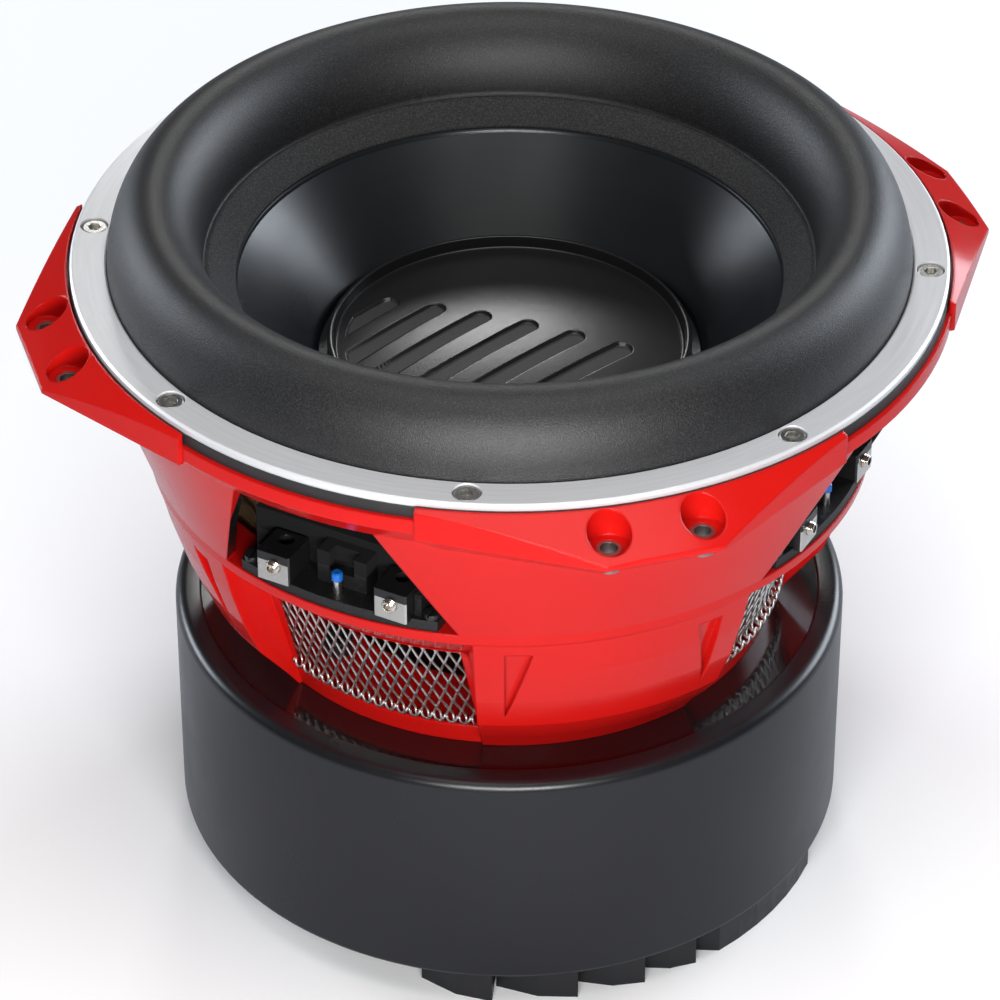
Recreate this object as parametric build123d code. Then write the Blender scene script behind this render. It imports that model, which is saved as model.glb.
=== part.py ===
from build123d import *
import math
import os

# Car subwoofer driver, 12 inch class. Millimetres, +Z up, standing on its finned base.
# The Z axis is the axis of the cone. The four mounting ears point along +X, +Y, -X and -Y.

# ---- driving dimensions: height of the stack, from the base upwards ----
BASE_HEIGHT = 13.0
BACK_PLATE_THICKNESS = 14.0
MAGNET_COUNT = 3
MAGNET_THICKNESS = 18.6
TOP_PLATE_THICKNESS = 12.2
BASKET_DEPTH = 130.5
FLANGE_SEAT_DEPTH = 1.0
GASKET_THICKNESS = 4.0
TRIM_RING_THICKNESS = 2.5

BACK_PLATE_BOTTOM = BASE_HEIGHT
BACK_PLATE_TOP = BACK_PLATE_BOTTOM + BACK_PLATE_THICKNESS
TOP_PLATE_BOTTOM = BACK_PLATE_TOP + MAGNET_COUNT * MAGNET_THICKNESS
TOP_PLATE_TOP = TOP_PLATE_BOTTOM + TOP_PLATE_THICKNESS
RIM_TOP = TOP_PLATE_TOP + BASKET_DEPTH
GASKET_TOP = RIM_TOP + GASKET_THICKNESS
RING_TOP = GASKET_TOP + TRIM_RING_THICKNESS

# ---- driving dimensions: radii ----
RING_OUTER_RADIUS = 145.0
RING_INNER_RADIUS = 133.0
RIM_OUTER_RADIUS = 147.0
EAR_WALL_RADIUS = 146.2
TRIM_SCREW_CIRCLE = 138.6
MOUNT_CIRCLE = 153.7
MAGNET_OUTER_RADIUS = 110.0
MAGNET_INNER_RADIUS = 56.0
BACK_PLATE_RADIUS = 108.0
BOOT_OUTER_RADIUS = 115.6
BOOT_LIP_RADIUS = 106.6
GAP_RADIUS = 41.8
POLE_RADIUS = 37.1
POLE_VENT_RADIUS = 16.0
FORMER_RADIUS = 38.1
CONE_EDGE_RADIUS = 99.6
DUST_CAP_RADIUS = 61.0

# ---- driving dimensions: angles, in degrees ----
EAR_ANGLES = [0, 90, 180, 270]
WINDOW_ANGLES = [45, 135, 225, 315]
TERMINAL_ANGLES = [225, 315]
EAR_ROOT_ANGLE = 28.5
EAR_CORNER_ANGLE = 6.7
MOUNT_HOLE_ANGLE = 5.65
TRIM_SCREW_ANGLE = 22.5

# ---- fasteners: socket head cap screws, low head ----
M5_CLEARANCE_RADIUS = 2.75
M5_SHANK_RADIUS = 2.4
M5_HEAD_RADIUS = 4.25
M5_HEAD_HEIGHT = 3.5
M6_SHANK_RADIUS = 2.9
M6_CLEARANCE_RADIUS = 3.3
M6_HEAD_RADIUS = 5.0
M6_HEAD_HEIGHT = 6.0

# ---- driving dimensions: where the fasteners sit ----
FERRULE_RADIUS = 4.0
FOOT_BOLT_CIRCLE = 75.0
BASE_SCREW_CIRCLE = 70.0
BASE_SCREW_ANGLES = [30, 90, 150, 210, 270, 330]
BASE_SCREW_SEAT = 9.0
BLOCK_SCREW_RADIUS = 114.8
BLOCK_SCREW_OFFSET = 33.0
BLOCK_SCREW_HOLE_RADIUS = 1.6

os.makedirs("parts", exist_ok=True)


def save(shape, node):
    export_step(shape, f"parts/{node}.step")


def turned(*points):
    """Solid of revolution about Z from (radius, height) corners."""
    face = make_face(Plane.XZ * Polyline(*points, close=True))
    return revolve(face, Axis.Z)


def turned_sector(half_angle, *points):
    """Part of a solid of revolution, centred on the +X direction."""
    face = make_face(Plane.XZ * Polyline(*points, close=True))
    sector = revolve(face, Axis.Z, revolution_arc=2 * half_angle)
    return Rot(0, 0, -half_angle) * sector


def rod(radius, low, high):
    """Upright round rod on the Z axis."""
    return Pos(0, 0, low) * Cylinder(radius, high - low, align=(Align.CENTER, Align.CENTER, Align.MIN))


def block(length, width, low, high):
    """Upright box centred on the Z axis: length along X, width along Y."""
    return Pos(0, 0, low) * Box(length, width, high - low, align=(Align.CENTER, Align.CENTER, Align.MIN))


def at(radius, angle, shape):
    """A shape moved out from the axis along +X, then turned about Z."""
    return Rot(0, 0, angle) * Pos(radius, 0, 0) * shape


def cut_each(shape, tools):
    for tool in tools:
        shape = shape - tool
    return shape


def socket_screw(head_radius, head_height, shank_radius, seat, length, key_width):
    """Cap screw with its head standing on the height seat and its shank going down."""
    head = rod(head_radius, seat, seat + head_height)
    head = chamfer(head.edges().group_by(Axis.Z)[-1], 0.5)
    hexagon = RegularPolygon(key_width / 2, 6, major_radius=False)
    socket = Pos(0, 0, seat + 0.45 * head_height) * extrude(hexagon, head_height)
    return head - socket + rod(shank_radius, seat - length, seat)


# ------------------------------------------------------------------ basket
WALL = 5.0
SILL_HEIGHT = TOP_PLATE_TOP + 69.0
SILL_RADIUS = 122.8
FOOT_RADIUS = 90.5
FOOT_THICKNESS = 6.0
FOOT_INNER_RADIUS = 64.0
SEAT_RADIUS = 144.0

UPPER_WINDOW_TOP = RIM_TOP - 13.0
UPPER_WINDOW_TOP_HALF = 25.0
UPPER_WINDOW_BOTTOM_HALF = 42.8
MESH_WINDOW_BOTTOM = TOP_PLATE_TOP + 8.5
MESH_WINDOW_TOP = TOP_PLATE_TOP + 47.0
MESH_WINDOW_TOP_HALF = 34.0
MESH_WINDOW_BOTTOM_HALF = 34.5

SPIDER_LEDGE = TOP_PLATE_TOP + 56.0
SPIDER_LEDGE_INNER = 99.0
SPIDER_OUTER_RADIUS = 107.0

EAR_TOP_INNER = RING_TOP - 1.8
EAR_TOP_OUTER = RING_TOP - 11.6
EAR_CORNER_RADIUS = 163.9
EAR_UNDERSIDE = RING_TOP - 19.0
POCKET_RADIUS = 7.0
POCKET_FLOOR = RING_TOP - 11.8


def lower_shell_radius(height):
    """Outside radius of the wall between the sill and the foot."""
    knee = TOP_PLATE_TOP + 48.0
    if height > knee:
        return 104.0 + (SILL_RADIUS - 104.0) * (height - knee) / (SILL_HEIGHT - 4.0 - knee)
    return FOOT_RADIUS + (104.0 - FOOT_RADIUS) * (height - TOP_PLATE_TOP) / 48.0


def ear_outline(corner_radius, corner_angle, root_radius, root_angle):
    """Plan of one ear, pointing along +X, closed through the inside of the rim."""
    inner_radius = 136.0
    corners = [
        (inner_radius, root_angle),
        (root_radius, root_angle),
        (corner_radius, corner_angle),
        (corner_radius, -corner_angle),
        (root_radius, -root_angle),
        (inner_radius, -root_angle),
    ]
    points = []
    for radius, angle in corners:
        points.append((radius * math.cos(math.radians(angle)), radius * math.sin(math.radians(angle))))
    return make_face(Polyline(*points, close=True))


def build_ear():
    top_plan = ear_outline(EAR_CORNER_RADIUS, EAR_CORNER_ANGLE, 148.2, EAR_ROOT_ANGLE)
    low_plan = ear_outline(EAR_CORNER_RADIUS - 7.0, EAR_CORNER_ANGLE, 143.0, EAR_ROOT_ANGLE - 2.5)
    skirt = loft([Pos(0, 0, EAR_UNDERSIDE) * low_plan, Pos(0, 0, EAR_TOP_OUTER - 1.5) * top_plan])
    crown = extrude(Pos(0, 0, EAR_TOP_OUTER - 1.5) * top_plan, 12.0)
    slope = (EAR_TOP_INNER - EAR_TOP_OUTER) / (EAR_CORNER_RADIUS - EAR_WALL_RADIUS)
    sky = EAR_TOP_INNER + 20.0
    above_top = turned(
        (130.0, EAR_TOP_INNER),
        (EAR_WALL_RADIUS, EAR_TOP_INNER),
        (180.0, EAR_TOP_INNER - slope * (180.0 - EAR_WALL_RADIUS)),
        (180.0, sky),
        (130.0, sky),
    )
    ring_space = rod(EAR_WALL_RADIUS, RIM_TOP, sky)
    return skirt + crown - above_top - ring_space


def build_shell():
    """Upper cone, sill, lower cone and foot of the casting, in one profile."""
    return turned(
        (131.0, RIM_TOP - FLANGE_SEAT_DEPTH),
        (SEAT_RADIUS, RIM_TOP - FLANGE_SEAT_DEPTH),
        (SEAT_RADIUS, RIM_TOP),
        (RIM_OUTER_RADIUS, RIM_TOP),
        (RIM_OUTER_RADIUS, RIM_TOP - 5.0),
        (139.9, RIM_TOP - 13.2),
        (131.2, RIM_TOP - 37.0),
        (SILL_RADIUS, SILL_HEIGHT),
        (SILL_RADIUS - 0.6, SILL_HEIGHT - 4.0),
        (104.0, TOP_PLATE_TOP + 48.0),
        (FOOT_RADIUS, TOP_PLATE_TOP),
        (FOOT_INNER_RADIUS, TOP_PLATE_TOP),
        (FOOT_INNER_RADIUS, TOP_PLATE_TOP + FOOT_THICKNESS),
        (FOOT_RADIUS - 5.0, TOP_PLATE_TOP + FOOT_THICKNESS),
        (99.4, TOP_PLATE_TOP + 50.5),
        (SPIDER_LEDGE_INNER, SPIDER_LEDGE),
        (SPIDER_OUTER_RADIUS + 0.3, SPIDER_LEDGE),
        (SPIDER_OUTER_RADIUS + 0.3, SILL_HEIGHT),
        (SILL_RADIUS - WALL, SILL_HEIGHT),
        (131.2 - WALL, RIM_TOP - 37.0),
        (131.0, RIM_TOP - 20.0),
    )


def build_strut():
    """Solid leg between two windows, proud of the lower wall."""
    return turned_sector(
        22.6,
        (SILL_RADIUS - 3.0, SILL_HEIGHT),
        (SILL_RADIUS, SILL_HEIGHT),
        (118.2, TOP_PLATE_TOP + 50.0),
        (113.8, TOP_PLATE_TOP + 35.5),
        (107.6, TOP_PLATE_TOP + 21.0),
        (96.4, TOP_PLATE_TOP + 6.5),
        (FOOT_RADIUS + 1.3, TOP_PLATE_TOP),
        (FOOT_RADIUS - 3.0, TOP_PLATE_TOP),
        (101.0, TOP_PLATE_TOP + 49.0),
    )


def window_prism(bottom, top, bottom_half, top_half, near, far):
    """Trapezoid tunnel along +X, from the radius near to the radius far."""
    low_edge = [(-bottom_half, bottom), (bottom_half, bottom)]
    high_edge = [(top_half, top), (-top_half, top)]
    face = make_face(Plane.YZ * Polyline(*low_edge, *high_edge, close=True))
    return Pos(near, 0, 0) * extrude(face, far - near)


def strut_recess(side):
    """Shallow triangular pocket beside the edge of a strut."""
    top = SILL_HEIGHT - 8.7
    tip = (side * 4.2, SILL_HEIGHT - 44.0)
    pocket = extrude(make_face(Plane.YZ * Polyline((4.6, top), (-4.6, top), tip, close=True)), 14.0)
    lean = math.degrees(math.atan2(11.5, 35.8))
    leaning = Pos(120.5, 0, top) * Rot(0, lean, 0) * Pos(0, 0, -top) * pocket
    return Rot(0, 0, side * 15.6) * Pos(-1.9, 0, 0) * leaning


def build_basket():
    basket = build_shell()
    ear = build_ear()
    strut = build_strut()
    for angle in EAR_ANGLES:
        basket = basket + Rot(0, 0, angle) * ear + Rot(0, 0, angle) * strut
    basket = basket - rod(SEAT_RADIUS, RIM_TOP - FLANGE_SEAT_DEPTH, RING_TOP)
    upper = window_prism(
        SILL_HEIGHT, UPPER_WINDOW_TOP, UPPER_WINDOW_BOTTOM_HALF, UPPER_WINDOW_TOP_HALF, 95.0, 160.0
    )
    lower = window_prism(
        MESH_WINDOW_BOTTOM, MESH_WINDOW_TOP, MESH_WINDOW_BOTTOM_HALF, MESH_WINDOW_TOP_HALF, 70.0, 125.0
    )
    for angle in WINDOW_ANGLES:
        basket = basket - Rot(0, 0, angle) * upper - Rot(0, 0, angle) * lower
    pocket = rod(POCKET_RADIUS, POCKET_FLOOR, RING_TOP + 5.0)
    ferrule_hole = rod(FERRULE_RADIUS, EAR_UNDERSIDE - 5.0, RING_TOP)
    trim_screw_hole = rod(M5_SHANK_RADIUS, RIM_TOP - 9.5, RIM_TOP + 2.0)
    foot_hole = rod(M6_CLEARANCE_RADIUS, TOP_PLATE_TOP - 2.0, TOP_PLATE_TOP + FOOT_THICKNESS + 2.0)
    block_screw_hole = rod(BLOCK_SCREW_HOLE_RADIUS, SILL_HEIGHT - 5.5, SILL_HEIGHT + 1.0)
    for angle in TERMINAL_ANGLES:
        for side in (-1, 1):
            placed = Pos(BLOCK_SCREW_RADIUS, side * BLOCK_SCREW_OFFSET, 0) * block_screw_hole
            basket = basket - Rot(0, 0, angle) * placed
    for angle in EAR_ANGLES:
        for side in (-1, 1):
            hole_angle = angle + side * MOUNT_HOLE_ANGLE
            basket = basket - at(MOUNT_CIRCLE, hole_angle, pocket)
            basket = basket - at(MOUNT_CIRCLE, hole_angle, ferrule_hole)
            basket = basket - at(TRIM_SCREW_CIRCLE, angle + side * TRIM_SCREW_ANGLE, trim_screw_hole)
            basket = basket - at(FOOT_BOLT_CIRCLE, angle + side * TRIM_SCREW_ANGLE, foot_hole)
            basket = basket - Rot(0, 0, angle) * strut_recess(side)
    return basket


# ------------------------------------------------------------------ mounting ferrules


def build_ferrules():
    """Steel sleeves that line the mounting holes of the ears."""
    sleeve = rod(FERRULE_RADIUS, EAR_UNDERSIDE, POCKET_FLOOR) - rod(M5_CLEARANCE_RADIUS, 0, RING_TOP)
    sleeves = []
    for angle in EAR_ANGLES:
        for side in (-1, 1):
            sleeves.append(at(MOUNT_CIRCLE, angle + side * MOUNT_HOLE_ANGLE, sleeve))
    return Compound(children=sleeves)


# ------------------------------------------------------------------ trim ring and gasket
BOSS_RADIUS = 5.1
COUNTERBORE_RADIUS = 4.7
TRIM_SCREW_SEAT = RING_TOP - 4.0


def ring_of(shape, radius, angles):
    return [at(radius, angle, shape) for angle in angles]


def trim_screw_angles():
    return [angle + side * TRIM_SCREW_ANGLE for angle in EAR_ANGLES for side in (-1, 1)]


def build_trim_ring():
    """Flat brushed ring with a boss under each screw."""
    ring = turned(
        (RING_INNER_RADIUS, GASKET_TOP),
        (RING_OUTER_RADIUS, GASKET_TOP),
        (RING_OUTER_RADIUS, RING_TOP - 0.8),
        (RING_OUTER_RADIUS - 0.8, RING_TOP),
        (RING_INNER_RADIUS + 0.6, RING_TOP),
        (RING_INNER_RADIUS, RING_TOP - 0.6),
    )
    boss = rod(BOSS_RADIUS, RIM_TOP, GASKET_TOP + 0.5)
    for placed in ring_of(boss, TRIM_SCREW_CIRCLE, trim_screw_angles()):
        ring = ring + placed
    counterbore = rod(COUNTERBORE_RADIUS, TRIM_SCREW_SEAT, RING_TOP + 1.0)
    through = rod(M5_CLEARANCE_RADIUS, RIM_TOP - 1.0, RING_TOP)
    ring = cut_each(ring, ring_of(counterbore, TRIM_SCREW_CIRCLE, trim_screw_angles()))
    return cut_each(ring, ring_of(through, TRIM_SCREW_CIRCLE, trim_screw_angles()))


def build_trim_gasket():
    gasket = turned(
        (RING_INNER_RADIUS + 0.1, RIM_TOP),
        (RING_OUTER_RADIUS + 0.5, RIM_TOP),
        (RING_OUTER_RADIUS + 0.5, GASKET_TOP),
        (RING_INNER_RADIUS + 0.1, GASKET_TOP),
    )
    return cut_each(gasket, ring_of(rod(BOSS_RADIUS, 0, RING_TOP), TRIM_SCREW_CIRCLE, trim_screw_angles()))


def build_trim_screws():
    screw = socket_screw(M5_HEAD_RADIUS, M5_HEAD_HEIGHT, M5_SHANK_RADIUS, TRIM_SCREW_SEAT, 10.5, 4.0)
    return Compound(children=ring_of(screw, TRIM_SCREW_CIRCLE, trim_screw_angles()))


# ------------------------------------------------------------------ surround
ROLL_CENTRE_RADIUS = 117.0
ROLL_HALF_WIDTH = 15.8
ROLL_HEIGHT = 26.0
ROLL_THICKNESS = 3.0
ROLL_BASE = RING_TOP - 2.1
LIP_OUTER_HEIGHT = RING_TOP - 1.9
LIP_INNER_RADIUS = 90.6
LIP_INNER_HEIGHT = RING_TOP - 8.0
LIP_THICKNESS = 1.5


def roll_arc(inset):
    """Upper half of the roll's ellipse, from the outer foot over to the inner foot."""
    half_width = ROLL_HALF_WIDTH - inset
    height = ROLL_HEIGHT - inset
    centre = (ROLL_CENTRE_RADIUS, ROLL_BASE)
    return EllipticalCenterArc(centre, half_width, height, start_angle=0, arc_size=180)


def build_surround():
    """High-roll foam edge: flange under the gasket, roll, and lip on the cone."""
    outer_foot = ROLL_CENTRE_RADIUS + ROLL_HALF_WIDTH
    inner_foot = ROLL_CENTRE_RADIUS - ROLL_HALF_WIDTH
    seat = RIM_TOP - FLANGE_SEAT_DEPTH
    outside = Polyline(
        (inner_foot, ROLL_BASE),
        (CONE_EDGE_RADIUS, LIP_OUTER_HEIGHT),
        (LIP_INNER_RADIUS, LIP_INNER_HEIGHT),
        (LIP_INNER_RADIUS, LIP_INNER_HEIGHT - LIP_THICKNESS),
        (CONE_EDGE_RADIUS, LIP_OUTER_HEIGHT - LIP_THICKNESS),
        (inner_foot + ROLL_THICKNESS, ROLL_BASE - LIP_THICKNESS),
        (inner_foot + ROLL_THICKNESS, ROLL_BASE),
    )
    flange = Polyline(
        (outer_foot - ROLL_THICKNESS, ROLL_BASE),
        (outer_foot - ROLL_THICKNESS, seat),
        (SEAT_RADIUS - 0.4, seat),
        (SEAT_RADIUS - 0.4, RIM_TOP),
        (outer_foot, RIM_TOP),
        (outer_foot, ROLL_BASE),
    )
    outline = roll_arc(0) + outside + roll_arc(ROLL_THICKNESS) + flange
    surround = revolve(make_face(Plane.XZ * outline), Axis.Z)
    screw_hole = rod(M5_CLEARANCE_RADIUS, 0, RING_TOP)
    return cut_each(surround, ring_of(screw_hole, TRIM_SCREW_CIRCLE, trim_screw_angles()))


# ------------------------------------------------------------------ cone and dust cap
CONE_THICKNESS = 2.0
CONE_SHOULDER_RADIUS = 90.2
CONE_SHOULDER_HEIGHT = RING_TOP - 11.0
GROOVE_OUTER_RADIUS = 64.4
GROOVE_TOP = RING_TOP - 38.4
GROOVE_FLOOR = GROOVE_TOP - 3.0
NECK_TOP = RING_TOP - 62.0
FORMER_OUTER_RADIUS = FORMER_RADIUS + 0.5


def build_cone():
    """Straight cone: glue edge under the lip, smooth wall, cap groove and neck."""
    drop = CONE_THICKNESS * 1.45
    lip_underside = LIP_OUTER_HEIGHT - LIP_THICKNESS
    shoulder_underside = LIP_INNER_HEIGHT - LIP_THICKNESS
    return turned(
        (CONE_EDGE_RADIUS, lip_underside),
        (LIP_INNER_RADIUS, shoulder_underside),
        (CONE_SHOULDER_RADIUS, CONE_SHOULDER_HEIGHT),
        (GROOVE_OUTER_RADIUS, GROOVE_TOP),
        (GROOVE_OUTER_RADIUS, GROOVE_FLOOR),
        (58.0, GROOVE_FLOOR),
        (FORMER_OUTER_RADIUS + 1.2, NECK_TOP),
        (FORMER_OUTER_RADIUS, NECK_TOP),
        (FORMER_OUTER_RADIUS, NECK_TOP - 7.0),
        (FORMER_OUTER_RADIUS + 1.2, NECK_TOP - 7.0),
        (58.0, GROOVE_FLOOR - drop),
        (GROOVE_OUTER_RADIUS + 1.0, GROOVE_FLOOR - drop + 2.0),
        (CONE_SHOULDER_RADIUS, CONE_SHOULDER_HEIGHT - drop),
        (CONE_EDGE_RADIUS, lip_underside - 2.6),
    )


CAP_DOME_HEIGHT = 4.0
CAP_EDGE_TOP = GROOVE_TOP + 0.6
CAP_THICKNESS = 1.8
SLOT_COUNT = 6
SLOT_PITCH = 14.8
SLOT_WIDTH = 7.4
SLOT_DEPTH = 0.9
SLOT_DIRECTION = 25.9
SLOT_FIRST_OFFSET = 43.3
SLOT_FIRST_TIP = -11.9
SLOT_TIP_STEP = 7.6
SLOT_FIELD_RADIUS = 55.0


def dome_solid(half_width, rise, edge_height, bottom):
    """Solid of revolution from the height bottom up to a spherical cap."""
    ball_radius = (half_width * half_width + rise * rise) / (2 * rise)
    ball_centre = edge_height + rise - ball_radius
    middle = half_width / 2
    middle_height = ball_centre + math.sqrt(ball_radius * ball_radius - middle * middle)
    top_arc = ThreePointArc((half_width, edge_height), (middle, middle_height), (0, edge_height + rise))
    sides = Polyline((0, edge_height + rise), (0, bottom), (half_width, bottom), (half_width, edge_height))
    return revolve(make_face(Plane.XZ * (sides + top_arc)), Axis.Z)


def cap_slot(index):
    """Plan of one round-ended bar of the cap's pattern."""
    tip = SLOT_FIRST_TIP + index * SLOT_TIP_STEP
    offset = SLOT_FIRST_OFFSET - index * SLOT_PITCH
    end = tip - SLOT_WIDTH / 2
    start = -90.0
    straight = Pos((start + end) / 2, offset) * Rectangle(end - start, SLOT_WIDTH)
    round_end = Pos(end, offset) * Circle(SLOT_WIDTH / 2)
    return Rot(0, 0, SLOT_DIRECTION) * (straight + round_end)


def build_dust_cap():
    """Shallow dome with a raised rim bead and a pattern of parallel recessed bars."""
    shoulder = DUST_CAP_RADIUS - 3.0
    rim = turned(
        (DUST_CAP_RADIUS, GROOVE_FLOOR),
        (DUST_CAP_RADIUS, CAP_EDGE_TOP + 0.4),
        (DUST_CAP_RADIUS - 0.7, CAP_EDGE_TOP + 1.1),
        (DUST_CAP_RADIUS - 1.7, CAP_EDGE_TOP + 1.1),
        (DUST_CAP_RADIUS - 2.4, CAP_EDGE_TOP + 0.4),
        (DUST_CAP_RADIUS - 3.0, CAP_EDGE_TOP),
        (DUST_CAP_RADIUS - 4.0, CAP_EDGE_TOP - CAP_THICKNESS),
        (DUST_CAP_RADIUS - 2.2, CAP_EDGE_TOP - CAP_THICKNESS),
        (DUST_CAP_RADIUS - 2.2, GROOVE_FLOOR),
    )
    hollow_floor = GROOVE_FLOOR - 2.0
    cap = dome_solid(shoulder, CAP_DOME_HEIGHT, CAP_EDGE_TOP, CAP_EDGE_TOP - CAP_THICKNESS)
    cap = cap - dome_solid(shoulder + 0.5, CAP_DOME_HEIGHT, CAP_EDGE_TOP - CAP_THICKNESS, hollow_floor) + rim
    slot_floor = dome_solid(shoulder, CAP_DOME_HEIGHT, CAP_EDGE_TOP - SLOT_DEPTH, hollow_floor)
    field = Circle(SLOT_FIELD_RADIUS)
    for index in range(SLOT_COUNT):
        plan = cap_slot(index) & field
        bar = extrude(Pos(0, 0, CAP_EDGE_TOP - CAP_THICKNESS) * plan, 12.0)
        cap = cap - (bar - slot_floor)
    return cap


# ------------------------------------------------------------------ voice coil, spiders
COIL_LENGTH = 50.0
COIL_CENTRE = (TOP_PLATE_BOTTOM + TOP_PLATE_TOP) / 2
COIL_BOTTOM = COIL_CENTRE - COIL_LENGTH / 2
COIL_MIDDLE_RADIUS = FORMER_OUTER_RADIUS + 1.0
COIL_OUTER_RADIUS = FORMER_OUTER_RADIUS + 2.0
SPIDER_THICKNESS = 0.8
SPIDER_SPACER_HEIGHT = 8.0
SPIDER_WAVES = 6
SPIDER_WAVE_HEIGHT = 1.9
LOWER_SPIDER = SPIDER_LEDGE
UPPER_SPIDER = LOWER_SPIDER + SPIDER_THICKNESS + SPIDER_SPACER_HEIGHT


def tube(outer_radius, inner_radius, low, high):
    return rod(outer_radius, low, high) - rod(inner_radius, low - 1.0, high + 1.0)


def build_spider(seat):
    """Corrugated centring disc, glued to the former inside and to the ledge outside."""
    inner = FORMER_OUTER_RADIUS + 0.05
    outer = SPIDER_OUTER_RADIUS
    wave_start = inner + 4.0
    wave_end = SPIDER_LEDGE_INNER - 1.0
    half_wave = (wave_end - wave_start) / (2 * SPIDER_WAVES)
    upper = [(inner, seat + SPIDER_THICKNESS), (wave_start, seat + SPIDER_THICKNESS)]
    for index in range(2 * SPIDER_WAVES - 1):
        rise = SPIDER_WAVE_HEIGHT if index % 2 == 0 else -SPIDER_WAVE_HEIGHT
        upper.append((wave_start + (index + 0.75) * half_wave, seat + SPIDER_THICKNESS + rise))
    upper.append((wave_end, seat + SPIDER_THICKNESS))
    upper.append((outer, seat + SPIDER_THICKNESS))
    lower = [(radius, height - SPIDER_THICKNESS) for radius, height in reversed(upper)]
    return turned(*upper, *lower)


# ------------------------------------------------------------------ motor
BOOT_LIP_THICKNESS = 2.0
BOOT_TOP = TOP_PLATE_TOP + 0.2 + BOOT_LIP_THICKNESS
BOOT_EDGE_ROUND = 5.0


def build_magnet(index):
    low = BACK_PLATE_TOP + index * MAGNET_THICKNESS
    return tube(MAGNET_OUTER_RADIUS, MAGNET_INNER_RADIUS, low, low + MAGNET_THICKNESS)


def build_top_plate():
    plate = tube(MAGNET_OUTER_RADIUS, GAP_RADIUS, TOP_PLATE_BOTTOM, TOP_PLATE_TOP)
    tapped_hole = rod(M6_SHANK_RADIUS, TOP_PLATE_TOP - 11.0, TOP_PLATE_TOP + 1.0)
    return cut_each(plate, ring_of(tapped_hole, FOOT_BOLT_CIRCLE, trim_screw_angles()))


def build_yoke():
    """Back plate and vented pole in one forging."""
    pole_top = TOP_PLATE_TOP + 6.0
    yoke = turned(
        (POLE_VENT_RADIUS, BACK_PLATE_BOTTOM),
        (BACK_PLATE_RADIUS - 1.5, BACK_PLATE_BOTTOM),
        (BACK_PLATE_RADIUS, BACK_PLATE_BOTTOM + 1.5),
        (BACK_PLATE_RADIUS, BACK_PLATE_TOP),
        (POLE_RADIUS, BACK_PLATE_TOP),
        (POLE_RADIUS, pole_top - 2.0),
        (POLE_RADIUS - 2.0, pole_top),
        (POLE_VENT_RADIUS + 4.0, pole_top),
        (POLE_VENT_RADIUS, pole_top - 6.0),
    )
    tapped_hole = rod(M6_SHANK_RADIUS, BACK_PLATE_BOTTOM - 1.0, BACK_PLATE_BOTTOM + 9.0)
    return cut_each(yoke, ring_of(tapped_hole, BASE_SCREW_CIRCLE, BASE_SCREW_ANGLES))


def build_boot():
    """Moulded rubber cover over the magnets, with a lip turned in over the top plate."""
    boot = turned(
        (MAGNET_OUTER_RADIUS + 0.2, BASE_HEIGHT),
        (BOOT_OUTER_RADIUS, BASE_HEIGHT),
        (BOOT_OUTER_RADIUS, BOOT_TOP),
        (BOOT_LIP_RADIUS, BOOT_TOP),
        (BOOT_LIP_RADIUS, TOP_PLATE_TOP + 0.2),
        (MAGNET_OUTER_RADIUS + 0.2, TOP_PLATE_TOP + 0.2),
    )
    outer_edges = boot.edges().filter_by(GeomType.CIRCLE).sort_by(SortBy.RADIUS)[-2:]
    top_edge = outer_edges.sort_by(Axis.Z)[-1]
    boot = fillet(top_edge, BOOT_EDGE_ROUND)
    outer_edges = boot.edges().filter_by(GeomType.CIRCLE).sort_by(SortBy.RADIUS)[-2:]
    return fillet(outer_edges.sort_by(Axis.Z)[0], 2.5)


# ------------------------------------------------------------------ finned base
BASE_RADIUS = 103.0
FOOT_PAD_INNER_RADIUS = 86.0
TOOTH_RADIUS = 112.4
TOOTH_ROOT_RADIUS = 104.5
TOOTH_WIDTHS = [14.2, 15.0, 12.2, 10.3]
LOBE_WIDTH = 34.0
SECTOR_START_ANGLES = [-123.6, 56.4]
BASE_VENT_RADIUS = 18.0
SCREEN_RADIUS = 22.0
SCREEN_FLOOR = 6.0
SCREEN_THICKNESS = 1.0


def polar(radius, angle):
    return (radius * math.cos(math.radians(angle)), radius * math.sin(math.radians(angle)))


def fin_sector(start):
    """One foot: saw-tooth fins that grow and then step back, followed by a plain round lobe."""
    outline = [(0.0, 0.0)]
    first = start
    for width in TOOTH_WIDTHS:
        for step, share in ((0.0, 0.0), (0.5, 0.7), (0.96, 1.0)):
            radius = TOOTH_ROOT_RADIUS + (TOOTH_RADIUS - TOOTH_ROOT_RADIUS) * share
            outline.append(polar(radius, first + step * width))
        outline.append(polar(TOOTH_ROOT_RADIUS - 6.0, first + 0.985 * width))
        first += width
    outline.append(polar(TOOTH_ROOT_RADIUS, first))
    for step in range(1, 8):
        outline.append(polar(TOOTH_RADIUS, first + LOBE_WIDTH * step / 7))
    sector = extrude(make_face(Polyline(*outline, close=True)), BASE_HEIGHT - 0.3)
    return sector - rod(FOOT_PAD_INNER_RADIUS, -1.0, BASE_HEIGHT)


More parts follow.
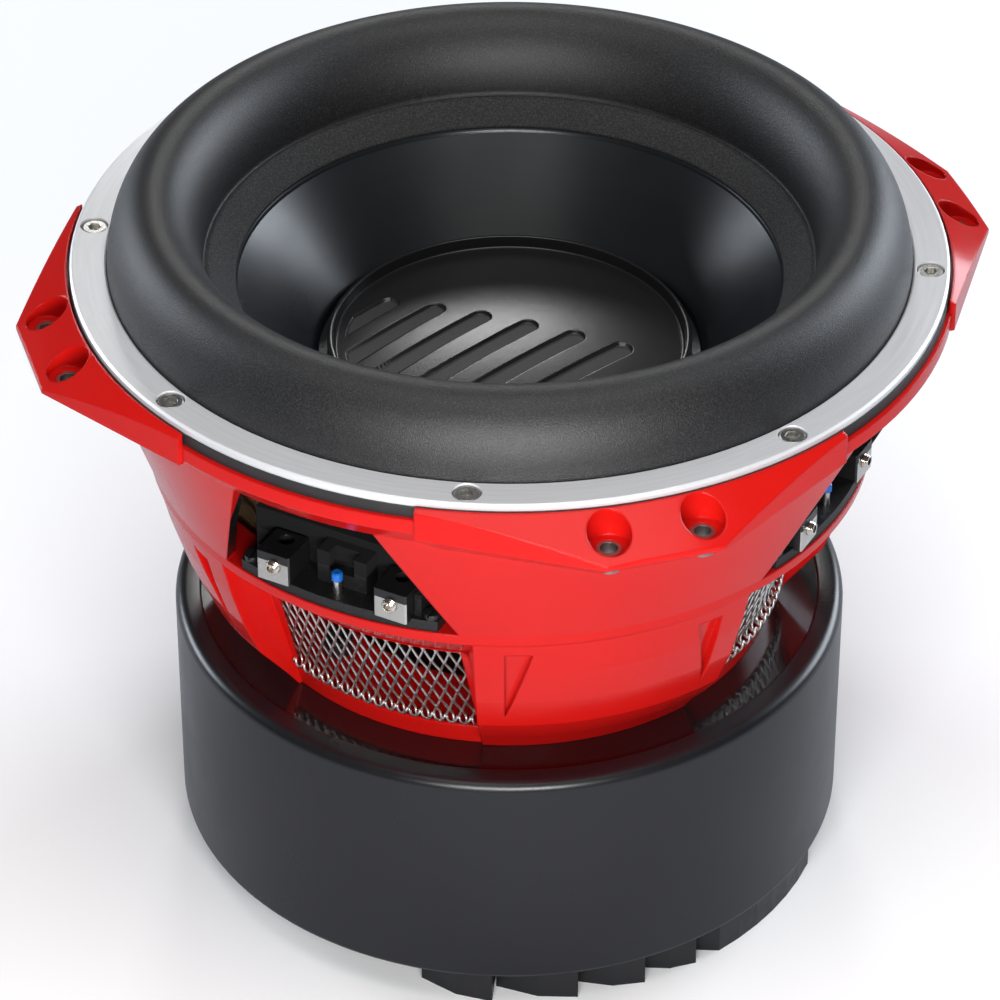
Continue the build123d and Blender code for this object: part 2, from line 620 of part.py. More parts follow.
def build_base():
    base = turned(
        (BASE_VENT_RADIUS + 5.0, 3.0),
        (BASE_RADIUS - 3.0, 3.0),
        (BASE_RADIUS, 6.0),
        (BASE_RADIUS, BASE_HEIGHT),
        (BASE_VENT_RADIUS, BASE_HEIGHT),
        (BASE_VENT_RADIUS, SCREEN_FLOOR + SCREEN_THICKNESS),
        (SCREEN_RADIUS, SCREEN_FLOOR + SCREEN_THICKNESS),
        (SCREEN_RADIUS, SCREEN_FLOOR),
    )
    for start in SECTOR_START_ANGLES:
        base = base + fin_sector(start)
    clearance = rod(M6_CLEARANCE_RADIUS, -1.0, BASE_HEIGHT + 1.0)
    counterbore = rod(M6_HEAD_RADIUS + 0.6, -1.0, BASE_SCREW_SEAT)
    base = cut_each(base, ring_of(clearance, BASE_SCREW_CIRCLE, BASE_SCREW_ANGLES))
    return cut_each(base, ring_of(counterbore, BASE_SCREW_CIRCLE, BASE_SCREW_ANGLES))


def build_base_screws():
    """Screws driven upwards from under the base into the back plate."""
    screw = socket_screw(M6_HEAD_RADIUS, 5.0, M6_SHANK_RADIUS, 0.0, 12.0, 5.0)
    upright = Pos(0, 0, BASE_SCREW_SEAT) * Rot(180, 0, 0) * screw
    return Compound(children=ring_of(upright, BASE_SCREW_CIRCLE, BASE_SCREW_ANGLES))


def build_vent_screen():
    """Punched disc across the vent, held in the base."""
    screen = rod(SCREEN_RADIUS - 0.1, SCREEN_FLOOR, SCREEN_FLOOR + SCREEN_THICKNESS)
    hole = rod(1.6, 0.0, BASE_HEIGHT)
    for row in range(-4, 5):
        for column in range(-4, 5):
            x = 4.4 * (column + 0.5 * (row % 2))
            y = 3.8 * row
            if math.hypot(x, y) < BASE_VENT_RADIUS - 2.2:
                screen = screen - Pos(x, y, 0) * hole
    return screen


# ------------------------------------------------------------------ mesh grilles
MESH_THICKNESS = 1.2
MESH_COLUMN_PITCH = 4.3
MESH_ROW_PITCH = 4.95
MESH_STRAND = 0.9


def mesh_diamond(x, y):
    """One diamond opening of the expanded metal."""
    half_width = MESH_COLUMN_PITCH / 2 - MESH_STRAND / 2
    half_height = MESH_ROW_PITCH - MESH_STRAND
    corners = [(x - half_width, y), (x, y - half_height), (x + half_width, y), (x, y + half_height)]
    return make_face(Polyline(*corners, close=True))


def build_mesh_grille():
    """Expanded-metal panel bent to the lower wall, pointing along +X."""
    low = MESH_WINDOW_BOTTOM - 2.0
    high = MESH_WINDOW_TOP + 2.0
    half = MESH_WINDOW_BOTTOM_HALF + 2.0
    sheet = Pos(0, (low + high) / 2) * Rectangle(2 * half, high - low)
    for row in range(-4, 5):
        for column in range(-9, 10):
            x = MESH_COLUMN_PITCH * (column + 0.5 * (row % 2))
            y = (low + high) / 2 + MESH_ROW_PITCH * row
            inside_width = abs(x) < half - MESH_COLUMN_PITCH / 2
            if inside_width and abs(y - (low + high) / 2) < (high - low) / 2 - MESH_ROW_PITCH:
                sheet = sheet - mesh_diamond(x, y)
    slab = Pos(70.0, 0, 0) * extrude(Plane.YZ * sheet, 50.0)
    inset = 1.6
    skin = turned_sector(
        30.0,
        (lower_shell_radius(low - 3.0) - inset, low - 3.0),
        (lower_shell_radius(high + 1.0) - inset, high + 1.0),
        (lower_shell_radius(high + 1.0) - inset - MESH_THICKNESS, high + 1.0),
        (lower_shell_radius(low - 3.0) - inset - MESH_THICKNESS, low - 3.0),
    )
    return skin & slab


def build_mesh_rebate():
    """Space that each grille takes inside the wall, up to the inner face."""
    low = MESH_WINDOW_BOTTOM - 2.0
    high = MESH_WINDOW_TOP + 2.0
    half = MESH_WINDOW_BOTTOM_HALF + 2.0
    slab = window_prism(low, high, half, half, 70.0, 120.0)
    inset = 1.6
    skin = turned_sector(
        30.0,
        (lower_shell_radius(low - 3.0) - inset, low - 3.0),
        (lower_shell_radius(high + 1.0) - inset, high + 1.0),
        (lower_shell_radius(high + 1.0) - 15.0, high + 1.0),
        (lower_shell_radius(low - 3.0) - 15.0, low - 3.0),
    )
    return skin & slab


# ------------------------------------------------------------------ terminals
BLOCK_HALF_LENGTH = 36.0
BLOCK_BACK_RADIUS = 103.0
BLOCK_FRONT_RADIUS = 122.2
BLOCK_DECK = SILL_HEIGHT + 4.0
BLOCK_BACK_TOP = SILL_HEIGHT + 19.0
BLOCK_WALL_TOP = SILL_HEIGHT + 12.0
CLAMP_OFFSET = 21.4
CLAMP_WIDTH = 12.0
CLAMP_BACK = 108.5
CLAMP_FRONT = 121.6
CLAMP_TOP = BLOCK_DECK + 10.0
CLAMP_BORE_RADIUS = 2.5
CLAMP_BORE_HEIGHT = BLOCK_DECK + 5.0
WIRE_PORT_RADIUS = 2.6
WIRE_PORT_CENTRE = 112.6
SCREW_LENGTH = 7.2
SCREW_STAND_OUT = 2.0
PAD_THICKNESS = 1.0
SCREW_RUNNING_GAP = 0.05
TAB_WIDTH = 5.0
TAB_THICKNESS = 1.0
TAB_HEIGHT = BLOCK_DECK + 3.0
TAB_END = 98.5
LINK_PIN_RADIUS = 1.4
LINK_PIN_CENTRE = 117.5


def radial_rod(radius, near, far, height):
    """Round rod lying along +X at a height."""
    lying = Rot(0, 90, 0) * Cylinder(radius, far - near, align=(Align.CENTER, Align.CENTER, Align.MIN))
    return Pos(near, 0, height) * lying


def radial_box(near, far, half_width, low, high):
    box = Box(far - near, 2 * half_width, high - low, align=(Align.MIN, Align.CENTER, Align.MIN))
    return Pos(near, 0, low) * box


def build_terminal_block():
    """Moulded block on the window sill: deck, back wall and partitions."""
    deck = radial_box(BLOCK_BACK_RADIUS, 130.0, BLOCK_HALF_LENGTH, SILL_HEIGHT, BLOCK_DECK)
    back_face = BLOCK_BACK_RADIUS + 4.0
    back = radial_box(BLOCK_BACK_RADIUS, back_face, BLOCK_HALF_LENGTH, SILL_HEIGHT, BLOCK_BACK_TOP)
    middle = radial_box(BLOCK_BACK_RADIUS, 114.5, 9.0, SILL_HEIGHT, BLOCK_BACK_TOP - 3.0)
    middle = middle - radial_box(110.0, 120.0, 4.5, BLOCK_DECK + 5.0, BLOCK_BACK_TOP)
    solid = deck + back + middle
    end_wall = radial_box(BLOCK_BACK_RADIUS, 116.5, 1.2, SILL_HEIGHT, BLOCK_WALL_TOP)
    pocket_half_width = CLAMP_WIDTH / 2 + 0.1
    pocket = radial_box(CLAMP_BACK - 0.1, 130.0, pocket_half_width, BLOCK_DECK - 1.0, BLOCK_BACK_TOP)
    tab_slot = radial_box(90.0, 110.0, TAB_WIDTH / 2, TAB_HEIGHT, TAB_HEIGHT + TAB_THICKNESS)
    screw_hole = rod(BLOCK_SCREW_HOLE_RADIUS, SILL_HEIGHT - 1.0, BLOCK_DECK + 1.0)
    for side in (-1, 1):
        solid = solid + Pos(0, side * (BLOCK_HALF_LENGTH - 7.2), 0) * end_wall
        solid = solid - Pos(0, side * CLAMP_OFFSET, 0) * pocket
        solid = solid - Pos(0, side * CLAMP_OFFSET, 0) * tab_slot
        solid = solid - Pos(BLOCK_SCREW_RADIUS, side * BLOCK_SCREW_OFFSET, 0) * screw_hole
    solid = solid - Pos(LINK_PIN_CENTRE, 0, 0) * rod(LINK_PIN_RADIUS, BLOCK_DECK - 2.0, BLOCK_DECK + 1.0)
    return solid & rod(BLOCK_FRONT_RADIUS, 0, RING_TOP)


def build_block_screws():
    """Small screws that hold both terminal blocks to the sills."""
    screw = rod(1.5, SILL_HEIGHT - 5.0, BLOCK_DECK) + rod(2.7, BLOCK_DECK, BLOCK_DECK + 1.9)
    screw = screw - Pos(0, 0, BLOCK_DECK + 1.8) * Box(6.0, 0.7, 1.4)
    screws = []
    for angle in TERMINAL_ANGLES:
        for side in (-1, 1):
            placed = Pos(BLOCK_SCREW_RADIUS, side * BLOCK_SCREW_OFFSET, 0) * screw
            screws.append(Rot(0, 0, angle) * placed)
    return Compound(children=screws)


def build_clamp():
    """Wire clamp block with its solder tab: upright wire port, screw bore from the front."""
    body = radial_box(CLAMP_BACK, CLAMP_FRONT, CLAMP_WIDTH / 2, BLOCK_DECK - 1.0, CLAMP_TOP)
    body = chamfer(body.edges().filter_by(Axis.Z), 0.5)
    tab = radial_box(TAB_END, CLAMP_BACK + 1.0, TAB_WIDTH / 2, TAB_HEIGHT, TAB_HEIGHT + TAB_THICKNESS)
    port = Pos(WIRE_PORT_CENTRE, 0, 0) * rod(WIRE_PORT_RADIUS, BLOCK_DECK, RING_TOP)
    bore = radial_rod(CLAMP_BORE_RADIUS, WIRE_PORT_CENTRE, CLAMP_FRONT + 1.0, CLAMP_BORE_HEIGHT)
    return body + tab - port - bore


def build_clamp_screw():
    """Grub screw with a hexagon socket in its outer end."""
    radius = CLAMP_BORE_RADIUS - SCREW_RUNNING_GAP
    outer_end = CLAMP_FRONT + SCREW_STAND_OUT
    screw = radial_rod(radius, outer_end - SCREW_LENGTH, outer_end, CLAMP_BORE_HEIGHT)
    screw = chamfer(screw.edges().group_by(Axis.X)[-1], 0.4)
    hexagon = extrude(RegularPolygon(1.25, 6, major_radius=False), 5.0)
    return screw - Pos(outer_end - 2.4, 0, CLAMP_BORE_HEIGHT) * Rot(0, 90, 0) * hexagon


def build_clamp_pad():
    """Swivel pad that the grub screw pushes against the wire."""
    inner_end = CLAMP_FRONT + SCREW_STAND_OUT - SCREW_LENGTH
    radius = CLAMP_BORE_RADIUS - SCREW_RUNNING_GAP
    return radial_rod(radius, inner_end - PAD_THICKNESS, inner_end, CLAMP_BORE_HEIGHT)


def build_link_pin():
    return Pos(LINK_PIN_CENTRE, 0, 0) * rod(LINK_PIN_RADIUS, BLOCK_DECK - 2.0, BLOCK_DECK + 5.0)


def build_link_pin_cap():
    cap = rod(LINK_PIN_RADIUS + 0.5, BLOCK_DECK + 5.0, BLOCK_DECK + 8.0)
    return Pos(LINK_PIN_CENTRE, 0, 0) * chamfer(cap.edges().group_by(Axis.Z)[-1], 0.5)


# ------------------------------------------------------------------ tinsel leads
LEAD_RADIUS = 1.2
# Route from the solder tab to the eyelet under the cone: radius, sideways, height.
LEAD_ROUTE = [
    (98.5, 21.4, 171.5),
    (91.0, 21.4, 171.5),
    (83.5, 20.2, 169.8),
    (75.5, 18.9, 168.7),
    (67.5, 17.5, 170.2),
    (60.5, 16.2, 174.1),
    (52.4, 14.8, 181.9),
]


def route_tube(points, radius):
    """Round tube along straight runs joined by tangent arcs."""
    vectors = [Vector(*point) for point in points]
    starts = [vectors[0]]
    pieces = []
    arc_radii = []
    for before, corner, after in zip(vectors, vectors[1:], vectors[2:]):
        arriving = (corner - before).normalized()
        leaving = (after - corner).normalized()
        half_turn = math.radians(arriving.get_angle(leaving)) / 2
        reach = 0.45 * min((corner - before).length, (after - corner).length)
        arc_radius = reach / math.tan(half_turn)
        arc_radii.append(round(arc_radius, 1))
        first = corner - arriving * reach
        last = corner + leaving * reach
        inward = (leaving - arriving).normalized()
        centre = corner + inward * (arc_radius / math.cos(half_turn))
        middle = centre - inward * arc_radius
        pieces.append(Line(starts[-1], first))
        pieces.append(ThreePointArc(first, middle, last))
        starts.append(last)
    pieces.append(Line(starts[-1], vectors[-1]))
    path = Wire(Curve() + pieces)
    section = Plane(origin=path @ 0, z_dir=path % 0) * Circle(radius)
    lead = sweep(section, path=path)
    expected = math.pi * radius**2 * path.length
    print("lead arc radii", arc_radii, "volume / expected", round(lead.volume / expected, 4))
    return lead


def lead_points(side):
    return [(radius, side * sideways, height) for radius, sideways, height in LEAD_ROUTE]


WINDOW_NAMES = {45: "back_right", 135: "back_left", 225: "front_left", 315: "front_right"}
SIDE_NAMES = {-1: "a", 1: "b"}


def main():
    basket = build_basket()
    rebate = build_mesh_rebate()
    for angle in WINDOW_ANGLES:
        basket = basket - Rot(0, 0, angle) * rebate
    save(basket, "basket")
    save(build_ferrules(), "mounting_ferrules")
    save(build_trim_ring(), "trim_ring")
    save(build_trim_gasket(), "trim_gasket")
    save(build_trim_screws(), "trim_screws")
    save(build_surround(), "surround")
    save(build_cone(), "cone")
    save(build_dust_cap(), "dust_cap")
    save(tube(FORMER_OUTER_RADIUS, FORMER_RADIUS, COIL_BOTTOM, NECK_TOP), "coil_former")
    coil_top = COIL_BOTTOM + COIL_LENGTH
    inner_coil = tube(COIL_MIDDLE_RADIUS, FORMER_OUTER_RADIUS, COIL_BOTTOM, coil_top)
    outer_coil = tube(COIL_OUTER_RADIUS, COIL_MIDDLE_RADIUS, COIL_BOTTOM, coil_top)
    save(inner_coil, "voice_coil_inner")
    save(outer_coil, "voice_coil_outer")
    save(build_spider(LOWER_SPIDER), "spider_lower")
    save(build_spider(UPPER_SPIDER), "spider_upper")
    spacer_low = LOWER_SPIDER + SPIDER_THICKNESS
    save(tube(SPIDER_OUTER_RADIUS, SPIDER_LEDGE_INNER, spacer_low, UPPER_SPIDER), "spider_spacer")
    save(build_top_plate(), "top_plate")
    for index, name in enumerate(("magnet_lower", "magnet_middle", "magnet_upper")):
        save(build_magnet(index), name)
    save(build_yoke(), "vented_yoke")
    save(build_boot(), "magnet_boot")
    save(build_base(), "finned_base")
    save(build_base_screws(), "base_screws")
    save(build_vent_screen(), "vent_screen")
    foot_bolt = socket_screw(
        M6_HEAD_RADIUS, M6_HEAD_HEIGHT, M6_SHANK_RADIUS, TOP_PLATE_TOP + FOOT_THICKNESS, 15.0, 5.0
    )
    save(Compound(children=ring_of(foot_bolt, FOOT_BOLT_CIRCLE, trim_screw_angles())), "basket_bolts")
    grille = build_mesh_grille()
    for angle in WINDOW_ANGLES:
        save(Rot(0, 0, angle) * grille, f"mesh_grille_{WINDOW_NAMES[angle]}")
    save(build_block_screws(), "terminal_block_screws")
    for angle in TERMINAL_ANGLES:
        place = Rot(0, 0, angle)
        window = WINDOW_NAMES[angle]
        save(place * build_terminal_block(), f"terminal_block_{window}")
        save(place * build_link_pin(), f"link_pin_{window}")
        save(place * build_link_pin_cap(), f"link_pin_cap_{window}")
        for side, letter in SIDE_NAMES.items():
            clamp_place = place * Pos(0, side * CLAMP_OFFSET, 0)
            save(clamp_place * build_clamp(), f"terminal_clamp_{window}_{letter}")
            save(clamp_place * build_clamp_screw(), f"clamp_screw_{window}_{letter}")
            save(clamp_place * build_clamp_pad(), f"clamp_pad_{window}_{letter}")
            save(place * route_tube(lead_points(side), LEAD_RADIUS), f"tinsel_lead_{window}_{letter}")


main()
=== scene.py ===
"""Looks of the car subwoofer driver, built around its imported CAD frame. Metres, +Z up."""

import math

import bpy
import numpy as np
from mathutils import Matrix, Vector


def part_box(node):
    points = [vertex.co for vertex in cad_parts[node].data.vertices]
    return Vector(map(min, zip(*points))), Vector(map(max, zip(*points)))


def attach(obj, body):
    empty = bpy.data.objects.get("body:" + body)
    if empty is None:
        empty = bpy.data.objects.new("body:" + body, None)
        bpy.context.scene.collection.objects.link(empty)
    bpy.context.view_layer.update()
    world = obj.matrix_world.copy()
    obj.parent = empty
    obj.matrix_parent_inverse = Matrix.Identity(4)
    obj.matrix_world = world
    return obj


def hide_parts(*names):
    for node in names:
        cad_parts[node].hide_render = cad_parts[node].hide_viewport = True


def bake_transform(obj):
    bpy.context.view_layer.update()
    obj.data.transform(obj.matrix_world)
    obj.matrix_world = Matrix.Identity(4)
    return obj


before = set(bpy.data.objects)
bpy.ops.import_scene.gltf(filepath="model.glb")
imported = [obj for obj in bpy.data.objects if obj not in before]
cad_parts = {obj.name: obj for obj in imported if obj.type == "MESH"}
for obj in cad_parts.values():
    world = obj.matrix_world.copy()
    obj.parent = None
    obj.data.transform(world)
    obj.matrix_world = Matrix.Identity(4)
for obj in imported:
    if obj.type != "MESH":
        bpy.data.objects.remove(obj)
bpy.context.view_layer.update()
MM = 0.001

# ------------------------------------------------------------------ sizes taken from the frame


def reach(node):
    """Outer radius, lowest and highest height of a CAD node."""
    low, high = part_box(node)
    return max(high.x, high.y), low.z, high.z


RING_TOP = reach("trim_ring")[2]
ROLL_FLANGE_RADIUS, ROLL_SEAT, ROLL_TOP = reach("surround")
CONE_RADIUS, NECK_FOOT, _ = reach("cone")
CAP_RADIUS, _, CAP_TOP = reach("dust_cap")
BOOT_RADIUS, BOOT_FOOT, BOOT_TOP = reach("magnet_boot")
PLATE_RADIUS, _, PLATE_TOP = reach("top_plate")
FORMER_RADIUS = reach("coil_former")[0]
SILL = reach("terminal_block_front_left")[1]
CLAMP_TOP = reach("terminal_clamp_front_left_a")[2]
RIM_TOP = reach("trim_gasket")[1]
WINDOW_TOP = RIM_TOP - 13.5 * MM
WALL_INSIDE = 132.5 * MM
BLOCK_SHADE = SILL + 10.5 * MM
CLAMP_FRONT_TOP = CLAMP_TOP - 3.2 * MM
ANY_HEIGHT = 1.0
PAINTED_SHADE_BLACK = (0.0008, 0.0008, 0.0008)
WINDOW_ANGLES = {"back_right": 45, "back_left": 135, "front_left": 225, "front_right": 315}
TERMINALS = ("front_left", "front_right")


# ------------------------------------------------------------------ mesh helpers
def new_object(name, vertices, faces):
    mesh = bpy.data.meshes.new(name)
    mesh.from_pydata([tuple(v) for v in vertices], [], faces)
    mesh.validate()
    mesh.shade_smooth()
    piece = bpy.data.objects.new(name, mesh)
    bpy.context.scene.collection.objects.link(piece)
    return piece


def dress(piece, *materials):
    piece.data.materials.clear()
    for material in materials:
        piece.data.materials.append(material)
    return piece


def filleted(points, steps=5):
    """Closed outline with each corner (x, y, radius) replaced by an arc of that radius."""
    result = []
    count = len(points)
    for index, (x, y, radius) in enumerate(points):
        corner = np.array((x, y))
        before = np.array(points[index - 1][:2]) - corner
        after = np.array(points[(index + 1) % count][:2]) - corner
        if radius <= 0:
            result.append(corner)
            continue
        before_length = np.linalg.norm(before)
        after_length = np.linalg.norm(after)
        before = before / before_length
        after = after / after_length
        half = math.acos(max(-1.0, min(1.0, float(before @ after)))) / 2
        back = min(radius / math.tan(half), 0.45 * before_length, 0.45 * after_length)
        radius = back * math.tan(half)
        centre = corner + (before + after) / np.linalg.norm(before + after) * radius / math.sin(half)
        first = corner + before * back - centre
        last = corner + after * back - centre
        turn = math.atan2(first[0] * last[1] - first[1] * last[0], float(first @ last))
        for step in range(steps + 1):
            angle = turn * step / steps
            c, s = math.cos(angle), math.sin(angle)
            spun = np.array((first[0] * c - first[1] * s, first[0] * s + first[1] * c))
            result.append(centre + spun)
    return result


def lathe(name, outline, segments=288):
    """Solid ring from a closed (radius, height) outline in metres."""
    outline = np.array(outline)
    angles = np.linspace(0, 2 * math.pi, segments, endpoint=False)
    rows = []
    for angle in angles:
        c, s = math.cos(angle), math.sin(angle)
        rows.append(np.column_stack((outline[:, 0] * c, outline[:, 0] * s, outline[:, 1])))
    count = len(outline)
    faces = []
    for i in range(segments):
        j = (i + 1) % segments
        for k in range(count):
            m = (k + 1) % count
            faces.append((i * count + k, j * count + k, j * count + m, i * count + m))
    piece = new_object(name, np.vstack(rows), faces)
    outward(piece)
    return piece


def outward(piece):
    """Turns the faces outwards by the sign of the mesh's volume."""
    mesh = piece.data
    mesh.calc_loop_triangles()
    points = np.array([v.co for v in mesh.vertices], float)
    corners = np.array([t.vertices[:] for t in mesh.loop_triangles])
    a, b, c = points[corners[:, 0]], points[corners[:, 1]], points[corners[:, 2]]
    if np.einsum("ij,ij->i", a, np.cross(b, c)).sum() < 0:
        mesh.flip_normals()


def tube_along(path, radius, sides):
    """Vertices and faces of a round tube along points, without twist, closed at both ends."""
    path = np.array(path, float)
    tangents = np.gradient(path, axis=0)
    tangents /= np.linalg.norm(tangents, axis=1)[:, None]
    normal = np.cross(tangents[0], (0.0, 0.0, 1.0))
    if np.linalg.norm(normal) < 1e-3:
        normal = np.cross(tangents[0], (1.0, 0.0, 0.0))
    vertices = []
    for point, tangent in zip(path, tangents):
        normal = normal - tangent * float(normal @ tangent)
        normal = normal / np.linalg.norm(normal)
        binormal = np.cross(tangent, normal)
        for side in range(sides):
            angle = 2 * math.pi * side / sides
            vertices.append(point + radius * (normal * math.cos(angle) + binormal * math.sin(angle)))
    faces = []
    for ring in range(len(path) - 1):
        for side in range(sides):
            after = (side + 1) % sides
            low, high = ring * sides, (ring + 1) * sides
            faces.append((low + side, low + after, high + after, high + side))
    faces.append(tuple(reversed(range(sides))))
    faces.append(tuple(range((len(path) - 1) * sides, len(path) * sides)))
    return vertices, faces


def radial_blend(piece):
    """Bakes the piece's transform into its mesh."""
    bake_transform(piece)


# ------------------------------------------------------------------ materials
class Finish:
    """One node-based material under construction."""

    def __init__(self, name, color, roughness, metallic=0.0, **sockets):
        self.material = bpy.data.materials.new(name)
        self.material.use_nodes = True
        self.tree = self.material.node_tree
        self.shader = self.tree.nodes["Principled BSDF"]
        self.color = (*color, 1.0)
        self.shader.inputs["Base Color"].default_value = self.color
        self.shader.inputs["Roughness"].default_value = roughness
        self.shader.inputs["Metallic"].default_value = metallic
        for socket, value in sockets.items():
            self.shader.inputs[socket.replace("_", " ")].default_value = value
        self.place = self.tree.nodes.new("ShaderNodeTexCoord").outputs["Object"]
        self.normal = None

    def node(self, kind, **values):
        made = self.tree.nodes.new(kind)
        for key, value in values.items():
            if hasattr(made, key):
                setattr(made, key, value)
            else:
                made.inputs[key.replace("_", " ")].default_value = value
        return made

    def link(self, output, target):
        self.tree.links.new(output, target)

    def polar(self, along, across, up):
        """Coordinates (turn x along, radius x across, height x up), for turned surfaces."""
        split = self.node("ShaderNodeSeparateXYZ")
        self.link(self.place, split.inputs[0])
        turn = self.node("ShaderNodeMath", operation="ARCTAN2")
        self.link(split.outputs["Y"], turn.inputs[0])
        self.link(split.outputs["X"], turn.inputs[1])
        square_x = self.node("ShaderNodeMath", operation="MULTIPLY")
        square_y = self.node("ShaderNodeMath", operation="MULTIPLY")
        for axis, square in (("X", square_x), ("Y", square_y)):
            self.link(split.outputs[axis], square.inputs[0])
            self.link(split.outputs[axis], square.inputs[1])
        total = self.node("ShaderNodeMath", operation="ADD")
        self.link(square_x.outputs[0], total.inputs[0])
        self.link(square_y.outputs[0], total.inputs[1])
        radius = self.node("ShaderNodeMath", operation="SQRT")
        self.link(total.outputs[0], radius.inputs[0])
        joined = self.node("ShaderNodeCombineXYZ")
        for output, factor, axis in (
            (turn.outputs[0], along, "X"),
            (radius.outputs[0], across, "Y"),
            (split.outputs["Z"], up, "Z"),
        ):
            scaled = self.node("ShaderNodeMath", operation="MULTIPLY")
            scaled.inputs[1].default_value = factor
            self.link(output, scaled.inputs[0])
            self.link(scaled.outputs[0], joined.inputs[axis])
        return joined.outputs[0]

    def round_shape(self):
        """Distance from the axis, height, and how far the surface faces away from the axis."""
        flat = self.node("ShaderNodeVectorMath", operation="MULTIPLY")
        flat.inputs[1].default_value = (1.0, 1.0, 0.0)
        self.link(self.place, flat.inputs[0])
        length = self.node("ShaderNodeVectorMath", operation="LENGTH")
        direction = self.node("ShaderNodeVectorMath", operation="NORMALIZE")
        facing = self.node("ShaderNodeVectorMath", operation="DOT_PRODUCT")
        split = self.node("ShaderNodeSeparateXYZ")
        self.link(flat.outputs[0], length.inputs[0])
        self.link(flat.outputs[0], direction.inputs[0])
        self.link(direction.outputs[0], facing.inputs[0])
        self.link(self.tree.nodes.new("ShaderNodeTexCoord").outputs["Normal"], facing.inputs[1])
        self.link(self.place, split.inputs[0])
        return length.outputs["Value"], split.outputs["Z"], facing.outputs["Value"]

    def within(self, *limits):
        """1 where every value lies inside its (value, low, high), else 0."""
        product = None
        for value, low, high in limits:
            near = self.node("ShaderNodeMath", operation="COMPARE")
            near.inputs[1].default_value = (low + high) / 2
            near.inputs[2].default_value = (high - low) / 2
            self.link(value, near.inputs[0])
            if product is None:
                product = near.outputs[0]
                continue
            both = self.node("ShaderNodeMath", operation="MULTIPLY")
            self.link(product, both.inputs[0])
            self.link(near.outputs[0], both.inputs[1])
            product = both.outputs[0]
        return product

    def noise(self, scale, detail=3.0, roughness=0.55, vector=None):
        texture = self.node("ShaderNodeTexNoise")
        texture.inputs["Scale"].default_value = scale
        texture.inputs["Detail"].default_value = detail
        texture.inputs["Roughness"].default_value = roughness
        self.link(vector or self.place, texture.inputs["Vector"])
        return texture.outputs["Fac"]

    def span(self, value, low, high, from_low=0.3, from_high=0.7):
        """Value remapped to the range low to high."""
        made = self.node("ShaderNodeMapRange")
        made.inputs["From Min"].default_value = from_low
        made.inputs["From Max"].default_value = from_high
        made.inputs["To Min"].default_value = low
        made.inputs["To Max"].default_value = high
        self.link(value, made.inputs["Value"])
        return made.outputs["Result"]

    def mix(self, factor, first, second):
        """Colour between first and second."""
        made = self.node("ShaderNodeMix", data_type="RGBA")
        for socket, value in ((made.inputs[6], first), (made.inputs[7], second)):
            if isinstance(value, tuple):
                socket.default_value = (*value, 1.0)
            else:
                self.link(value, socket)
        self.link(factor, made.inputs[0])
        return made.outputs[2]

    def vary_color(self, value, other, from_low=0.3, from_high=0.7):
        """Base colour wanders between its own colour and another."""
        factor = self.span(value, 0.0, 1.0, from_low, from_high)
        mixed = self.mix(factor, self.color[:3], other)
        self.link(mixed, self.shader.inputs["Base Color"])
        return self

    def vary_roughness(self, value, low, high):
        self.link(self.span(value, low, high), self.shader.inputs["Roughness"])
        return self

    def round_edges(self, radius):
        bevel = self.node("ShaderNodeBevel", samples=4)
        bevel.inputs["Radius"].default_value = radius
        self.normal = bevel.outputs["Normal"]
        self.link(self.normal, self.shader.inputs["Normal"])
        return self

    def bump(self, height, depth, strength=1.0):
        made = self.node("ShaderNodeBump")
        made.inputs["Strength"].default_value = strength
        made.inputs["Distance"].default_value = depth
        self.link(height, made.inputs["Height"])
        if self.normal:
            self.link(self.normal, made.inputs["Normal"])
        self.normal = made.outputs["Normal"]
        self.link(self.normal, self.shader.inputs["Normal"])
        return self


def red_paint():
    """Red gloss; the jambs of the upper windows are coloured near-black."""
    f = Finish("red_paint", (0.62, 0.009, 0.006), 0.16, Specular_IOR_Level=0.2)
    f.shader.inputs["Coat Weight"].default_value = 0.03
    f.shader.inputs["Coat Roughness"].default_value = 0.08
    f.round_edges(0.0011)
    radius, height, facing = f.round_shape()
    sideways = (facing, -0.5, 0.5)
    # the jambs' faces inside the window, between the sill and the window top, are coloured near-black
    # instead of red
    jamb = f.within((radius, 0.0, WALL_INSIDE), (height, SILL + 0.5 * MM, WINDOW_TOP), sideways)
    red = f.mix(f.span(f.noise(16.0), 0.0, 1.0), f.color[:3], (0.58, 0.007, 0.006))
    f.link(f.mix(jamb, red, (0.008, 0.008, 0.008)), f.shader.inputs["Base Color"])
    f.vary_roughness(f.noise(60.0), 0.13, 0.2)
    return f.bump(f.noise(900.0, 2.0), 0.000012).material


def brushed_ring():
    f = Finish("brushed_ring", (0.84, 0.84, 0.85), 0.34, 0.3)
    f.round_edges(0.0005)
    f.shader.inputs["Anisotropic"].default_value = 0.6
    tangent = f.node("ShaderNodeTangent", direction_type="RADIAL", axis="Z")
    f.link(tangent.outputs[0], f.shader.inputs["Tangent"])
    turned = f.polar(3.0, 5200.0, 5200.0)
    fine = f.noise(1.0, 4.0, 0.6, turned)
    f.vary_roughness(fine, 0.28, 0.44)
    f.vary_color(f.noise(1.0, 2.0, 0.5, f.polar(6.0, 900.0, 900.0)), (0.78, 0.78, 0.80))
    return f.bump(fine, 0.00001).material


def nickel(name, color, roughness, radius=0.0003):
    f = Finish(name, color, roughness, 1.0)
    f.round_edges(radius)
    f.vary_roughness(f.noise(700.0, 4.0), roughness * 0.8, roughness * 1.25)
    f.vary_color(f.noise(420.0, 3.0), tuple(0.8 * c for c in color))
    return f.bump(f.noise(2600.0, 3.0), 0.000012).material


